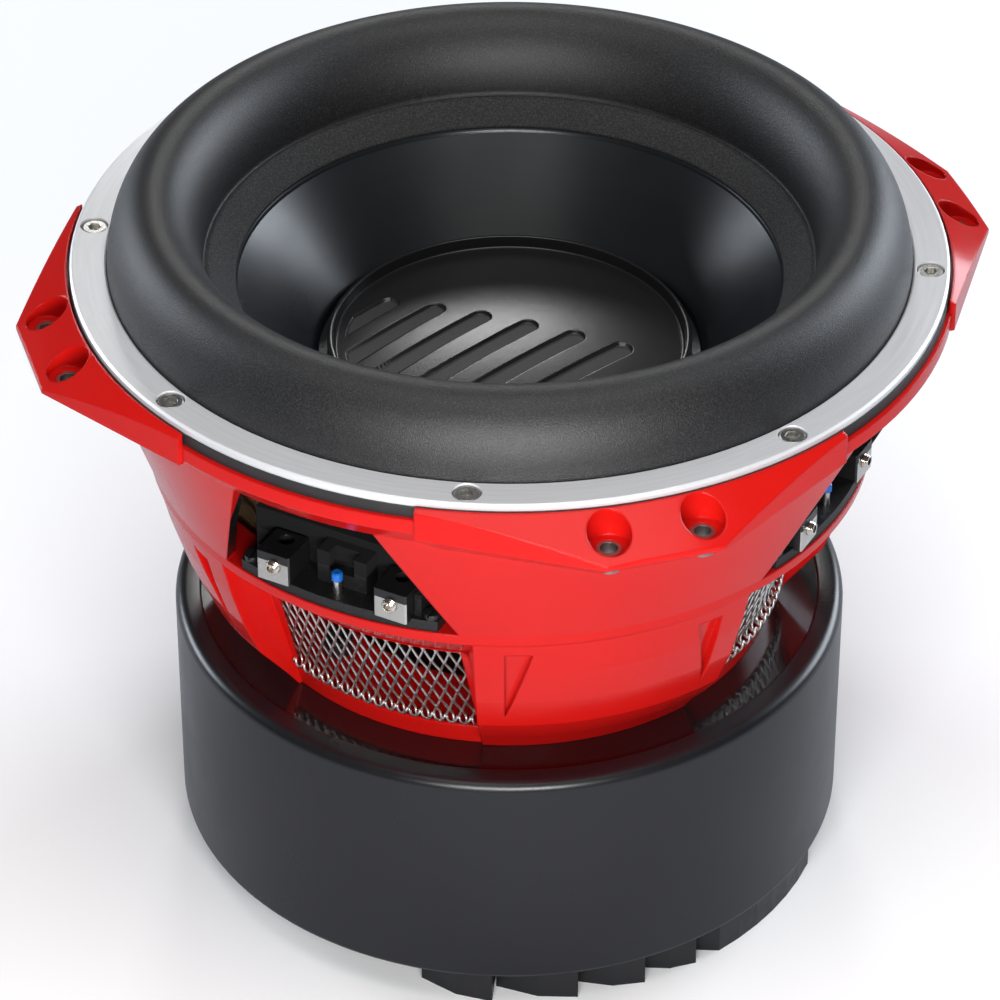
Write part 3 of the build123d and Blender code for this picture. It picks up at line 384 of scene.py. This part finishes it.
def nickel_front_clamp():
    """Terminal clamp: bare nickel on the front face below a set height, near-black everywhere else."""
    f = Finish("clamp_nickel", (0.72, 0.70, 0.65), 0.3)
    f.round_edges(0.0004)
    _, height, facing = f.round_shape()
    bare = f.within((height, 0.0, CLAMP_FRONT_TOP), (facing, 0.8, 1.1))
    nickel_color = f.mix(f.noise(420.0, 3.0), (0.74, 0.72, 0.67), (0.55, 0.53, 0.49))
    # near-black everywhere except the lower front face, which is bare nickel
    f.link(f.mix(bare, (0.009, 0.009, 0.0095), nickel_color), f.shader.inputs["Base Color"])
    f.link(bare, f.shader.inputs["Metallic"])
    f.vary_roughness(f.noise(700.0, 4.0), 0.26, 0.42)
    return f.bump(f.noise(2600.0, 3.0), 0.000012).material


def foam():
    f = Finish("surround_foam", (0.006, 0.006, 0.0065), 0.42, Specular_IOR_Level=0.55)
    grain = f.noise(2100.0, 2.0, 0.8)
    f.vary_color(grain, (0.04, 0.04, 0.042), 0.46, 0.74)
    f.vary_roughness(f.noise(1900.0, 3.0, 0.6), 0.36, 0.5)
    f.bump(grain, 0.00022, 0.7)
    return f.bump(f.noise(38.0, 2.0), 0.0006, 0.16).material


def foam_lip():
    f = Finish("surround_lip", (0.022, 0.022, 0.023), 0.72, Specular_IOR_Level=0.25)
    grain = f.noise(1700.0, 2.0, 0.8)
    f.vary_color(grain, (0.075, 0.075, 0.075), 0.42, 0.75)
    return f.bump(grain, 0.0003, 0.7).material


def cone_skin():
    f = Finish("cone_skin", (0.0075, 0.009, 0.0115), 0.3, Specular_IOR_Level=0.68)
    f.vary_roughness(f.noise(24.0, 4.0), 0.27, 0.35)
    f.vary_color(f.noise(1.0, 3.0, 0.5, f.polar(1.5, 160.0, 160.0)), (0.010, 0.0115, 0.014))
    f.bump(f.noise(1500.0, 3.0), 0.00003, 0.5)
    return f.bump(f.noise(20.0, 2.0), 0.0012, 0.10).material


def cap_skin():
    """Satin black dome; the recessed bars are lighter and grained, by the slot attribute."""
    f = Finish("cap_skin", (0.016, 0.016, 0.017), 0.36, Specular_IOR_Level=0.55)
    slots = f.node("ShaderNodeAttribute", attribute_name="slot").outputs["Fac"]
    grain = f.noise(1600.0, 3.0, 0.7)
    bars = f.mix(f.span(grain, 0.0, 1.0), (0.045, 0.045, 0.048), (0.07, 0.07, 0.073))
    skin = f.mix(f.span(f.noise(30.0), 0.0, 1.0), f.color[:3], (0.020, 0.020, 0.0215))
    f.link(f.mix(f.span(slots, 0.0, 1.0, 0.0, 1.0), skin, bars), f.shader.inputs["Base Color"])
    rough = f.node("ShaderNodeMapRange")
    rough.inputs["To Min"].default_value = 0.25
    rough.inputs["To Max"].default_value = 0.62
    f.link(slots, rough.inputs["Value"])
    f.link(rough.outputs["Result"], f.shader.inputs["Roughness"])
    return f.bump(grain, 0.00005, 0.5).material


def boot_rubber():
    f = Finish("boot_rubber", (0.006, 0.0062, 0.0078), 0.3, Specular_IOR_Level=0.5)
    f.round_edges(0.0006)
    f.vary_roughness(f.noise(26.0, 5.0, 0.6), 0.26, 0.35)
    f.vary_color(f.noise(9.0, 4.0, 0.6), (0.0085, 0.0088, 0.0112))
    f.bump(f.noise(2400.0, 2.0, 0.6), 0.00005, 0.5)
    return f.bump(f.noise(12.0, 3.0), 0.0016, 0.08).material


def black_rubber(name, shade, roughness):
    f = Finish(name, (shade, shade, shade * 1.05), roughness)
    f.round_edges(0.0006)
    f.vary_roughness(f.noise(300.0, 4.0), roughness * 0.88, roughness * 1.12)
    f.vary_color(f.noise(60.0, 3.0), (shade * 1.5, shade * 1.5, shade * 1.55))
    return f.bump(f.noise(1800.0, 3.0), 0.00006, 0.6).material


def black_gloss():
    f = Finish("plate_black", (0.0065, 0.0065, 0.0072), 0.13, Coat_Weight=0.5, Coat_Roughness=0.06)
    f.round_edges(0.0008)
    f.vary_roughness(f.noise(90.0, 5.0, 0.65), 0.10, 0.2)
    return f.bump(f.noise(700.0, 3.0), 0.00001, 0.5).material


def black_metal(name, shade, roughness):
    f = Finish(name, (shade, shade, shade * 1.06), roughness, Coat_Weight=0.2, Coat_Roughness=0.2)
    f.round_edges(0.0007)
    f.vary_roughness(f.noise(220.0, 4.0), roughness * 0.8, roughness * 1.2)
    f.vary_color(f.noise(40.0, 4.0), (shade * 1.6, shade * 1.6, shade * 1.7))
    return f.bump(f.noise(1300.0, 3.0), 0.00005, 0.5).material


def block_plastic():
    """Dusty black plastic, with painted shade: deep black above a set height, where the rim overhangs it.
    """
    f = Finish("block_plastic", (0.0055, 0.0055, 0.006), 0.5)
    f.round_edges(0.0004)
    dust = f.noise(900.0, 6.0, 0.75)
    _, height, _ = f.round_shape()
    # painted shade: the block is coloured deep black above BLOCK_SHADE, standing for the shadow under the
    # rim
    painted_shade_mask = f.within((height, BLOCK_SHADE, ANY_HEIGHT))
    dusty = f.mix(f.span(dust, 0.0, 1.0, 0.52, 0.8), f.color[:3], (0.035, 0.035, 0.035))
    f.link(f.mix(painted_shade_mask, dusty, PAINTED_SHADE_BLACK), f.shader.inputs["Base Color"])
    f.link(f.span(painted_shade_mask, 0.5, 0.95, 0.0, 1.0), f.shader.inputs["Roughness"])
    return f.bump(dust, 0.0001, 0.6).material


def ferrite():
    f = Finish("ferrite", (0.05, 0.05, 0.052), 0.62)
    f.round_edges(0.0008)
    f.vary_color(f.noise(240.0, 5.0), (0.08, 0.08, 0.083))
    return f.bump(f.noise(800.0, 4.0), 0.0001, 0.6).material


def spider_cloth():
    """Resin-treated plain weave."""
    f = Finish("spider_cloth", (0.42, 0.25, 0.09), 0.8, Sheen_Weight=0.3)
    warp = f.node("ShaderNodeTexWave", bands_direction="X")
    weft = f.node("ShaderNodeTexWave", bands_direction="Y")
    for wave in (warp, weft):
        wave.inputs["Scale"].default_value = 420.0
        wave.inputs["Distortion"].default_value = 0.6
        f.link(f.place, wave.inputs["Vector"])
    weave = f.node("ShaderNodeMath", operation="MAXIMUM")
    f.link(warp.outputs["Fac"], weave.inputs[0])
    f.link(weft.outputs["Fac"], weave.inputs[1])
    f.vary_color(weave.outputs[0], (0.25, 0.14, 0.045), 0.4, 1.0)
    return f.bump(weave.outputs[0], 0.0003, 0.8).material


def copper():
    f = Finish("coil_copper", (0.75, 0.28, 0.11), 0.32, 1.0)
    turns = f.node("ShaderNodeTexWave", bands_direction="Z")
    turns.inputs["Scale"].default_value = 320.0
    f.link(f.place, turns.inputs["Vector"])
    f.vary_color(turns.outputs["Fac"], (0.45, 0.14, 0.05), 0.0, 1.0)
    return f.bump(turns.outputs["Fac"], 0.0004, 0.8).material


def braid():
    """Tinned tinsel braid, crossing strands by two slanted waves."""
    f = Finish("lead_braid", (0.62, 0.58, 0.50), 0.38, 1.0)
    strands = []
    for slant in (1.0, -1.0):
        wave = f.node("ShaderNodeTexWave")
        wave.inputs["Scale"].default_value = 700.0
        mapping = f.node("ShaderNodeMapping")
        mapping.inputs["Rotation"].default_value = (0.0, 0.0, slant * 0.8)
        f.link(f.place, mapping.inputs["Vector"])
        f.link(mapping.outputs["Vector"], wave.inputs["Vector"])
        strands.append(wave.outputs["Fac"])
    crossed = f.node("ShaderNodeMath", operation="MAXIMUM")
    f.link(strands[0], crossed.inputs[0])
    f.link(strands[1], crossed.inputs[1])
    f.vary_color(crossed.outputs[0], (0.30, 0.27, 0.22), 0.3, 1.0)
    return f.bump(crossed.outputs[0], 0.0002, 0.8).material


def plain_plastic(name, color, roughness):
    f = Finish(name, color, roughness)
    f.round_edges(0.0004)
    f.vary_roughness(f.noise(500.0, 3.0), roughness * 0.85, roughness * 1.2)
    f.vary_color(f.noise(200.0, 3.0), tuple(0.8 * c for c in color))
    return f.bump(f.noise(1500.0, 3.0), 0.00003, 0.5).material


RED = red_paint()
RING = brushed_ring()
SCREW = nickel("screw_steel", (0.74, 0.72, 0.68), 0.3)
FERRULE = nickel("ferrule_steel", (0.34, 0.32, 0.30), 0.42)
CLAMP = nickel_front_clamp()
THREAD = nickel("thread_nickel", (0.80, 0.75, 0.66), 0.17, 0.0001)
MESH = nickel("mesh_wire", (0.82, 0.80, 0.77), 0.3, 0.0001)
FOAM = foam()
LIP = foam_lip()
CONE = cone_skin()
CAP = cap_skin()
BOOT = boot_rubber()
GASKET = black_rubber("gasket_rubber", 0.016, 0.5)
PLATE = black_gloss()
BASE = black_metal("base_black", 0.005, 0.42)
BOLT = black_metal("black_bolts", 0.010, 0.36)
YOKE = black_metal("yoke_black", 0.018, 0.4)
PLASTIC = block_plastic()
FERRITE = ferrite()
CLOTH = spider_cloth()
COPPER = copper()
FORMER = nickel("former_film", (0.60, 0.60, 0.60), 0.35)
BRAID = braid()
BLUE = plain_plastic("link_blue", (0.01, 0.16, 0.62), 0.3)
SPACER = plain_plastic("spacer_plastic", (0.014, 0.014, 0.015), 0.55)

CAD_FINISHES = {
    "basket": RED,
    "mounting_ferrules": FERRULE,
    "trim_ring": RING,
    "trim_gasket": GASKET,
    "trim_screws": SCREW,
    "coil_former": FORMER,
    "voice_coil_inner": COPPER,
    "voice_coil_outer": COPPER,
    "spider_spacer": SPACER,
    "top_plate": PLATE,
    "magnet_lower": FERRITE,
    "magnet_middle": FERRITE,
    "magnet_upper": FERRITE,
    "vented_yoke": YOKE,
    "finned_base": BASE,
    "base_screws": BOLT,
    "vent_screen": BASE,
    "basket_bolts": BOLT,
    "terminal_block_screws": BOLT,
}
for window in TERMINALS:
    CAD_FINISHES[f"terminal_block_{window}"] = PLASTIC
    CAD_FINISHES[f"link_pin_{window}"] = SCREW
    CAD_FINISHES[f"link_pin_cap_{window}"] = BLUE
    for letter in "ab":
        CAD_FINISHES[f"terminal_clamp_{window}_{letter}"] = CLAMP
        CAD_FINISHES[f"clamp_pad_{window}_{letter}"] = SCREW
for node, finish in CAD_FINISHES.items():
    dress(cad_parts[node], finish)


# ------------------------------------------------------------------ surround
ROLL_CENTRE = 117.0 * MM
ROLL_HALF_WIDTH = 15.8 * MM
ROLL_SKIN = 3.0 * MM
ROLL_BASE = RING_TOP - 2.1 * MM
LIP_RADIUS = 90.6 * MM
LIP_HEIGHT = RING_TOP - 8.0 * MM
LIP_SKIN = 1.5 * MM


def build_surround():
    """Foam roll with its flange under the ring and its lip on the cone."""
    half, height = ROLL_HALF_WIDTH, ROLL_TOP - ROLL_BASE
    outline = []
    for step in range(61):
        angle = math.pi * step / 60
        outline.append((ROLL_CENTRE + half * math.cos(angle), ROLL_BASE + height * math.sin(angle)))
    inner_foot = ROLL_CENTRE - half
    lip_start, lip_top = inner_foot - 2.2 * MM, ROLL_BASE - 0.15 * MM
    crease = [
        (inner_foot - 0.5 * MM, ROLL_BASE - 0.5 * MM),
        (inner_foot - 1.3 * MM, ROLL_BASE),
        (lip_start, lip_top),
    ]
    lip_steps = 8
    for step in range(1, lip_steps):
        share = step / lip_steps
        radius = lip_start + (LIP_RADIUS + 0.6 * MM - lip_start) * share
        crease.append((radius, lip_top + (LIP_HEIGHT - ROLL_BASE) * share))
    lip_end = [
        (LIP_RADIUS + 0.2 * MM, LIP_HEIGHT - 0.1 * MM),
        (LIP_RADIUS, LIP_HEIGHT - 0.6 * MM),
        (LIP_RADIUS, LIP_HEIGHT - LIP_SKIN),
        (inner_foot + ROLL_SKIN - 0.5 * MM, ROLL_BASE - LIP_SKIN),
        (inner_foot + ROLL_SKIN, ROLL_BASE),
    ]
    inside = []
    for step in range(1, 40):
        angle = math.pi * (1 - step / 40)
        radius = ROLL_CENTRE + (half - ROLL_SKIN) * math.cos(angle)
        inside.append((radius, ROLL_BASE + (height - ROLL_SKIN) * math.sin(angle)))
    flange = [
        (ROLL_CENTRE + half - ROLL_SKIN, ROLL_BASE),
        (ROLL_CENTRE + half - ROLL_SKIN, ROLL_SEAT),
        (ROLL_FLANGE_RADIUS, ROLL_SEAT),
        (ROLL_FLANGE_RADIUS, RIM_TOP - 0.05 * MM),
        (ROLL_CENTRE + half, RIM_TOP - 0.05 * MM),
    ]
    roll = lathe("surround_roll", outline + crease + lip_end + inside + flange, 360)
    dress(roll, FOAM, LIP)
    lip_edge = inner_foot - 0.9 * MM
    for face in roll.data.polygons:
        centre = face.center
        if math.hypot(centre.x, centre.y) < lip_edge:
            face.material_index = 1
    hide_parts("surround")
    radial_blend(roll)


# ------------------------------------------------------------------ cone and dust cap
GROOVE_RADIUS = 64.4 * MM
GROOVE_TOP = RING_TOP - 38.4 * MM
GROOVE_FLOOR = GROOVE_TOP - 3.0 * MM
CAP_BAR_WIDTH = 7.4 * MM
CAP_BAR_PITCH = 14.8 * MM
CAP_BAR_DEPTH = 1.1 * MM
CAP_BAR_TURN = math.radians(25.9)
CAP_BAR_OFFSET = 43.3 * MM
CAP_BAR_TIP = -11.9 * MM
CAP_BAR_STEP = 7.6 * MM
CAP_FIELD_RADIUS = 55.0 * MM
CAP_DOME_RISE = 4.0 * MM
CAP_DOME_EDGE = GROOVE_TOP + 0.6 * MM
CAP_DOME_RADIUS = CAP_RADIUS - 3.0 * MM


def build_cone():
    """Straight satin cone from the lip down to the neck on the coil former."""
    neck_top = RING_TOP - 62.0 * MM
    skin = 2.9 * MM
    outline = filleted(
        [
            (CONE_RADIUS, RING_TOP - 3.4 * MM, 0),
            (90.6 * MM, RING_TOP - 9.5 * MM, 0),
            (90.2 * MM, RING_TOP - 11.0 * MM, 0.8 * MM),
            (GROOVE_RADIUS, GROOVE_TOP, 0.9 * MM),
            (GROOVE_RADIUS, GROOVE_FLOOR, 0.6 * MM),
            (58.0 * MM, GROOVE_FLOOR, 1.0 * MM),
            (FORMER_RADIUS + 1.2 * MM, neck_top, 1.0 * MM),
            (FORMER_RADIUS, neck_top, 0),
            (FORMER_RADIUS, NECK_FOOT, 0),
            (FORMER_RADIUS + 1.2 * MM, NECK_FOOT, 0.5 * MM),
            (58.0 * MM, GROOVE_FLOOR - skin, 2.0 * MM),
            (GROOVE_RADIUS + 1.0 * MM, GROOVE_FLOOR - skin + 2.0 * MM, 2.0 * MM),
            (90.2 * MM, RING_TOP - 11.0 * MM - skin, 2.0 * MM),
            (CONE_RADIUS, RING_TOP - 6.0 * MM, 0.5 * MM),
        ]
    )
    cone = dress(lathe("cone_body", outline, 360), CONE)
    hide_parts("cone")
    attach(cone, "cone_assembly")


def bar_depth(x, y):
    """How far inside the nearest round-ended bar each point is, negative outside."""
    c, s = math.cos(CAP_BAR_TURN), math.sin(CAP_BAR_TURN)
    along = x * c + y * s
    across = -x * s + y * c
    inside = np.full(x.shape, -1.0)
    for index in range(6):
        offset = across - (CAP_BAR_OFFSET - index * CAP_BAR_PITCH)
        end = CAP_BAR_TIP + index * CAP_BAR_STEP - CAP_BAR_WIDTH / 2
        past = np.maximum(along - end, 0.0)
        inside = np.maximum(inside, CAP_BAR_WIDTH / 2 - np.hypot(offset, past))
    return np.minimum(inside, CAP_FIELD_RADIUS - np.hypot(x, y))


def build_dust_cap():
    """Shallow dome with its bead, dented by the pattern of bars."""
    rings, segments = 190, 480
    rise, edge = CAP_DOME_RISE, CAP_DOME_RADIUS
    ball = (edge * edge + rise * rise) / (2 * rise)
    radius = np.concatenate(([0.0], np.linspace(0.25 * MM, edge, rings)))
    height = CAP_DOME_EDGE + rise - ball + np.sqrt(ball * ball - radius * radius)
    bead = filleted(
        [
            (edge, CAP_DOME_EDGE, 0),
            (CAP_RADIUS - 2.5 * MM, CAP_DOME_EDGE + 0.2 * MM, 0.4 * MM),
            (CAP_RADIUS - 1.9 * MM, CAP_TOP, 0.5 * MM),
            (CAP_RADIUS - 0.8 * MM, CAP_TOP, 0.6 * MM),
            (CAP_RADIUS, CAP_TOP - 1.0 * MM, 0.6 * MM),
            (CAP_RADIUS, GROOVE_FLOOR + 0.1 * MM, 0),
        ],
        4,
    )
    radius = np.concatenate((radius, [p[0] for p in bead[1:]]))
    height = np.concatenate((height, [p[1] for p in bead[1:]]))
    angles = np.linspace(0, 2 * math.pi, segments, endpoint=False)
    x = np.outer(radius, np.cos(angles))
    y = np.outer(radius, np.sin(angles))
    wall = 0.5 * MM
    share = np.clip(bar_depth(x, y) / wall, 0.0, 1.0)
    dent = share * share * (3 - 2 * share)
    z = height[:, None] - CAP_BAR_DEPTH * dent
    vertices = np.column_stack((x.ravel(), y.ravel(), z.ravel()))
    faces = []
    for ring in range(1, len(radius) - 1):
        for segment in range(segments):
            after = (segment + 1) % segments
            low, high = ring * segments, (ring + 1) * segments
            faces.append((low + segment, high + segment, high + after, low + after))
    faces += [(0, segments + s, segments + (s + 1) % segments) for s in range(segments)]
    cap = new_object("dust_cap_shell", vertices, faces)
    slot = cap.data.attributes.new("slot", "FLOAT", "POINT")
    paint = np.clip(bar_depth(x, y) / (0.4 * MM) - 1.2, 0.0, 1.0).ravel()
    slot.data.foreach_set("value", paint.astype(np.float32))
    dress(cap, CAP)
    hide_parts("dust_cap")
    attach(cap, "cone_assembly")


# ------------------------------------------------------------------ spiders
def build_spider(node):
    """Corrugated cloth disc between the coil former and the basket's ledge."""
    outer, low, high = reach(node)
    middle = (low + high) / 2
    thickness = 0.8 * MM
    inner = FORMER_RADIUS + 0.05 * MM
    wave_start, wave_end, waves = inner + 4.0 * MM, 98.0 * MM, 6
    swing = (high - low - thickness) / 2
    upper = [(inner, middle)]
    steps = 8 * waves * 2
    for step in range(steps + 1):
        share = step / steps
        radius = wave_start + (wave_end - wave_start) * share
        upper.append((radius, middle + swing * math.sin(2 * math.pi * waves * share)))
    upper.append((outer, middle))
    top = [(r, z + thickness / 2) for r, z in upper]
    bottom = [(r, z - thickness / 2) for r, z in reversed(upper)]
    cloth = dress(lathe(node + "_cloth", top + bottom, 240), CLOTH)
    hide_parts(node)
    radial_blend(cloth)


# ------------------------------------------------------------------ boot
def build_boot():
    """Moulded rubber cover with rounded shoulders and a lip over the top plate."""
    lip_radius = 106.6 * MM
    inner = PLATE_RADIUS + 0.2 * MM
    outline = filleted(
        [
            (inner, BOOT_FOOT, 0.4 * MM),
            (BOOT_RADIUS, BOOT_FOOT, 2.5 * MM),
            (BOOT_RADIUS, BOOT_TOP, 4.6 * MM),
            (lip_radius, BOOT_TOP, 0.9 * MM),
            (lip_radius, PLATE_TOP + 0.2 * MM, 0.2 * MM),
            (inner, PLATE_TOP + 0.2 * MM, 0),
        ],
        9,
    )
    boot = dress(lathe("boot_cover", outline, 360), BOOT)
    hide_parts("magnet_boot")
    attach(boot, "frame")


# ------------------------------------------------------------------ mesh grilles
WIRE_PITCH = 4.3 * MM
WIRE_ROW = 4.95 * MM
WIRE_RADIUS = 0.43 * MM
MESH_HALF_WIDTH = 36.3 * MM
MESH_INSET = 2.2 * MM
CURL_RADIUS = 2.0 * MM


def wall_radius(height):
    """Outside radius of the basket's lower wall."""
    share = (height - PLATE_TOP) / (48.0 * MM)
    return 90.5 * MM + 13.5 * MM * share


def mesh_point(across, run, top):
    """Point of the grille's sheet: straight down the wall, then a small outward curl."""
    straight = top - (PLATE_TOP + 12.0 * MM)
    if run <= straight:
        height = top - run
        radius = wall_radius(height) - MESH_INSET
    else:
        turn = min((run - straight) / CURL_RADIUS, 3.9)
        height = top - straight - CURL_RADIUS * math.sin(turn)
        radius = wall_radius(top - straight) - MESH_INSET + CURL_RADIUS * (1 - math.cos(turn)) * 0.8
    angle = across / radius
    return radius * math.cos(angle), radius * math.sin(angle), height


def build_grille(window, angle):
    """Expanded-metal strands, touching in turn their left and right neighbours."""
    node = f"mesh_grille_{window}"
    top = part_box(node)[1].z
    strands = int(2 * MESH_HALF_WIDTH / (WIRE_PITCH / 2))
    rows = 9
    turn = math.radians(angle)
    spin = np.array(((math.cos(turn), -math.sin(turn), 0), (math.sin(turn), math.cos(turn), 0), (0, 0, 1)))
    vertices, faces = [], []
    swing = WIRE_PITCH / 4 - 0.25 * WIRE_RADIUS
    for strand in range(strands + 1):
        centre = -MESH_HALF_WIDTH + strand * WIRE_PITCH / 2
        path = []
        for step in range(rows * 6 + 1):
            phase = step / 6.0
            wave = 1 - 4 * abs(((phase + strand) / 2.0) % 1.0 - 0.5)
            wave = max(-0.86, min(0.86, wave * 1.06))
            lift = 0.35 * WIRE_RADIUS * math.cos(math.pi * phase)
            x, y, z = mesh_point(centre + swing * wave, phase * WIRE_ROW, top - 0.3 * MM)
            path.append((x + lift, y, z))
        ring, skin = tube_along(np.array(path) @ spin.T, WIRE_RADIUS, 7)
        faces += [tuple(i + len(vertices) for i in face) for face in skin]
        vertices += ring
    grille = dress(new_object(f"wire_mesh_{window}", vertices, faces), MESH)
    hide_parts(node)
    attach(grille, "frame")


# ------------------------------------------------------------------ clamp screws
def build_clamp_screw(window, letter):
    """Threaded grub screw with a hexagon socket, on the node's own axis."""
    node = f"clamp_screw_{window}_{letter}"
    low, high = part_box(node)
    centre = (low + high) / 2
    turn = math.radians(WINDOW_ANGLES[window])
    outward_axis = Vector((math.cos(turn), math.sin(turn), 0.0))
    radius, root, pitch = 2.45 * MM, 2.02 * MM, 0.8 * MM
    length = 7.2 * MM
    sides, steps = 40, 90
    rows = []
    for step in range(steps + 1):
        along = -length / 2 + length * step / steps
        taper = min(1.0, (length / 2 - along) / (0.5 * MM), (length / 2 + along) / (0.5 * MM))
        for side in range(sides):
            angle = 2 * math.pi * side / sides
            wave = abs(((along / pitch - angle / (2 * math.pi)) % 1.0) - 0.5) * 2
            crest = root + (radius - root) * min(1.0, 1.25 * wave)
            rows.append((along, angle, root - 0.1 * MM + (crest - root + 0.1 * MM) * max(taper, 0.0)))
    hexagon = []
    for side in range(sides):
        angle = 2 * math.pi * side / sides
        local = (angle + math.pi / 6) % (math.pi / 3) - math.pi / 6
        hexagon.append((angle, 1.25 * MM / math.cos(local)))
    for along in (length / 2, length / 2 - 2.4 * MM):
        rows += [(along, angle, span) for angle, span in hexagon]
    vertices = []
    for along, angle, span in rows:
        local = Vector((along, span * math.cos(angle), span * math.sin(angle)))
        side_axis = Vector((-outward_axis.y, outward_axis.x, 0.0))
        vertices.append(centre + outward_axis * local.x + side_axis * local.y + Vector((0, 0, local.z)))
    faces = []
    for ring in range(steps + 2):
        for side in range(sides):
            after = (side + 1) % sides
            a, b = ring * sides, (ring + 1) * sides
            faces.append((a + side, a + after, b + after, b + side))
    faces.append(tuple(range((steps + 2) * sides, (steps + 3) * sides)))
    faces.append(tuple(reversed(range(sides))))
    screw = new_object(f"grub_screw_{window}_{letter}", vertices, faces)
    screw.data.set_sharp_from_angle(angle=math.radians(40))
    outward(screw)
    dress(screw, THREAD)
    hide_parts(node)
    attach(screw, node)


# ------------------------------------------------------------------ tinsel leads
LEAD_ROUTE = [
    (98.5, 21.4, 171.5),
    (91.0, 21.4, 171.5),
    (83.5, 20.2, 169.8),
    (75.5, 18.9, 168.7),
    (67.5, 17.5, 170.2),
    (60.5, 16.2, 174.1),
    (52.4, 14.8, 181.9),
]
LEAD_DIAMETER = 2.4 * MM


def build_lead(window, letter):
    """Braided lead from the clamp's tab to the eyelet under the cone."""
    turn = math.radians(WINDOW_ANGLES[window])
    side = -1 if letter == "a" else 1
    curve = bpy.data.curves.new(f"lead_line_{window}_{letter}", "CURVE")
    curve.dimensions = "3D"
    line = curve.splines.new("NURBS")
    line.points.add(len(LEAD_ROUTE) - 1)
    for point, (out, across, height) in zip(line.points, LEAD_ROUTE):
        x = out * math.cos(turn) - side * across * math.sin(turn)
        y = out * math.sin(turn) + side * across * math.cos(turn)
        point.co = (x * MM, y * MM, height * MM, 1.0)
    line.order_u = 3
    line.use_endpoint_u = True
    line.resolution_u = 10
    guide = bpy.data.objects.new(curve.name, curve)
    bpy.context.scene.collection.objects.link(guide)
    path = [v.co[:] for v in guide.to_mesh().vertices]
    bpy.data.objects.remove(guide)
    vertices, faces = tube_along(path, LEAD_DIAMETER / 2, 14)
    lead = dress(new_object(f"lead_{window}_{letter}", vertices, faces), BRAID)
    node = f"tinsel_lead_{window}_{letter}"
    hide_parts(node)
    radial_blend(lead)


build_surround()
build_cone()
build_dust_cap()
build_boot()
for spider in ("spider_lower", "spider_upper"):
    build_spider(spider)
for window, window_angle in WINDOW_ANGLES.items():
    build_grille(window, window_angle)
for window in TERMINALS:
    for letter in "ab":
        build_clamp_screw(window, letter)
        build_lead(window, letter)


# ------------------------------------------------------------------ floor, light, camera
def build_floor():
    """Pale floor, brighter to the camera than to the object standing on it."""
    bpy.ops.mesh.primitive_circle_add(vertices=96, radius=6.0, fill_type="NGON")
    floor = bpy.context.object
    floor.name = "studio_floor"
    f = Finish("studio_floor", (0.95, 0.95, 0.95), 0.9, Specular_IOR_Level=0.1)
    f.vary_roughness(f.noise(3.0), 0.85, 0.95)
    seen = f.node("ShaderNodeLightPath").outputs["Is Camera Ray"]
    f.link(f.mix(seen, (0.56, 0.58, 0.62), (0.95, 0.95, 0.95)), f.shader.inputs["Base Color"])
    dress(floor, f.material)


CAMERA_PLACE = Vector((-0.3892, -1.2651, 1.0896))
CAMERA_DIRECTION = Vector((0.2361, 0.7741, -0.5874))
CAMERA_LENS = 171.8
SUBJECT = Vector((0.0, 0.0, 0.16))
WHITE = (1.0, 1.0, 1.0)
COOL = (0.84, 0.91, 1.0)


def place_looking(thing, place, direction):
    """Puts a light or the camera at a place, facing along a direction."""
    bpy.context.scene.collection.objects.link(thing)
    thing.location = place
    thing.rotation_euler = direction.to_track_quat("-Z", "Y").to_euler()


def softbox(name, turn, rise, distance, width, height, power, color=WHITE):
    """Area light seen from the object at a compass turn and a rise, in degrees."""
    light = bpy.data.lights.new(name, "AREA")
    light.shape = "RECTANGLE"
    light.size = width
    light.size_y = height
    light.energy = power
    light.color = color
    turn, rise = math.radians(turn), math.radians(rise)
    away = Vector((math.cos(turn) * math.cos(rise), math.sin(turn) * math.cos(rise), math.sin(rise)))
    place = SUBJECT + away * distance
    place_looking(bpy.data.objects.new(name, light), place, SUBJECT - place)


def build_camera():
    data = bpy.data.cameras.new("camera")
    data.lens = CAMERA_LENS
    data.sensor_width = 36.0
    camera = bpy.data.objects.new("camera", data)
    place_looking(camera, CAMERA_PLACE, CAMERA_DIRECTION)
    bpy.context.scene.camera = camera


def build_world():
    """White backdrop for the camera, dim fill for everything else."""
    world = bpy.data.worlds.new("studio")
    bpy.context.scene.world = world
    world.use_nodes = True
    tree = world.node_tree
    background = tree.nodes["Background"]
    background.inputs["Color"].default_value = (*WHITE, 1.0)
    ray = tree.nodes.new("ShaderNodeLightPath")
    brightness = tree.nodes.new("ShaderNodeMapRange")
    brightness.inputs["To Min"].default_value = 0.10
    brightness.inputs["To Max"].default_value = 1.0
    tree.links.new(ray.outputs["Is Camera Ray"], brightness.inputs["Value"])
    tree.links.new(brightness.outputs["Result"], background.inputs["Strength"])


build_floor()
build_camera()
build_world()
softbox("left_softbox", 135, 14, 1.5, 0.6, 0.45, 10.0, COOL)
softbox("right_softbox", 19, 17, 1.5, 0.9, 0.6, 17.0, COOL)
softbox("front_softbox", -107, 17, 0.62, 0.36, 0.12, 3.4)
softbox("cap_spot", 75, 31, 1.6, 0.3, 0.3, 3.7)
softbox("top_softbox", -100, 80, 2.2, 1.6, 1.6, 22.0)

bpy.context.scene.view_settings.view_transform = "Standard"
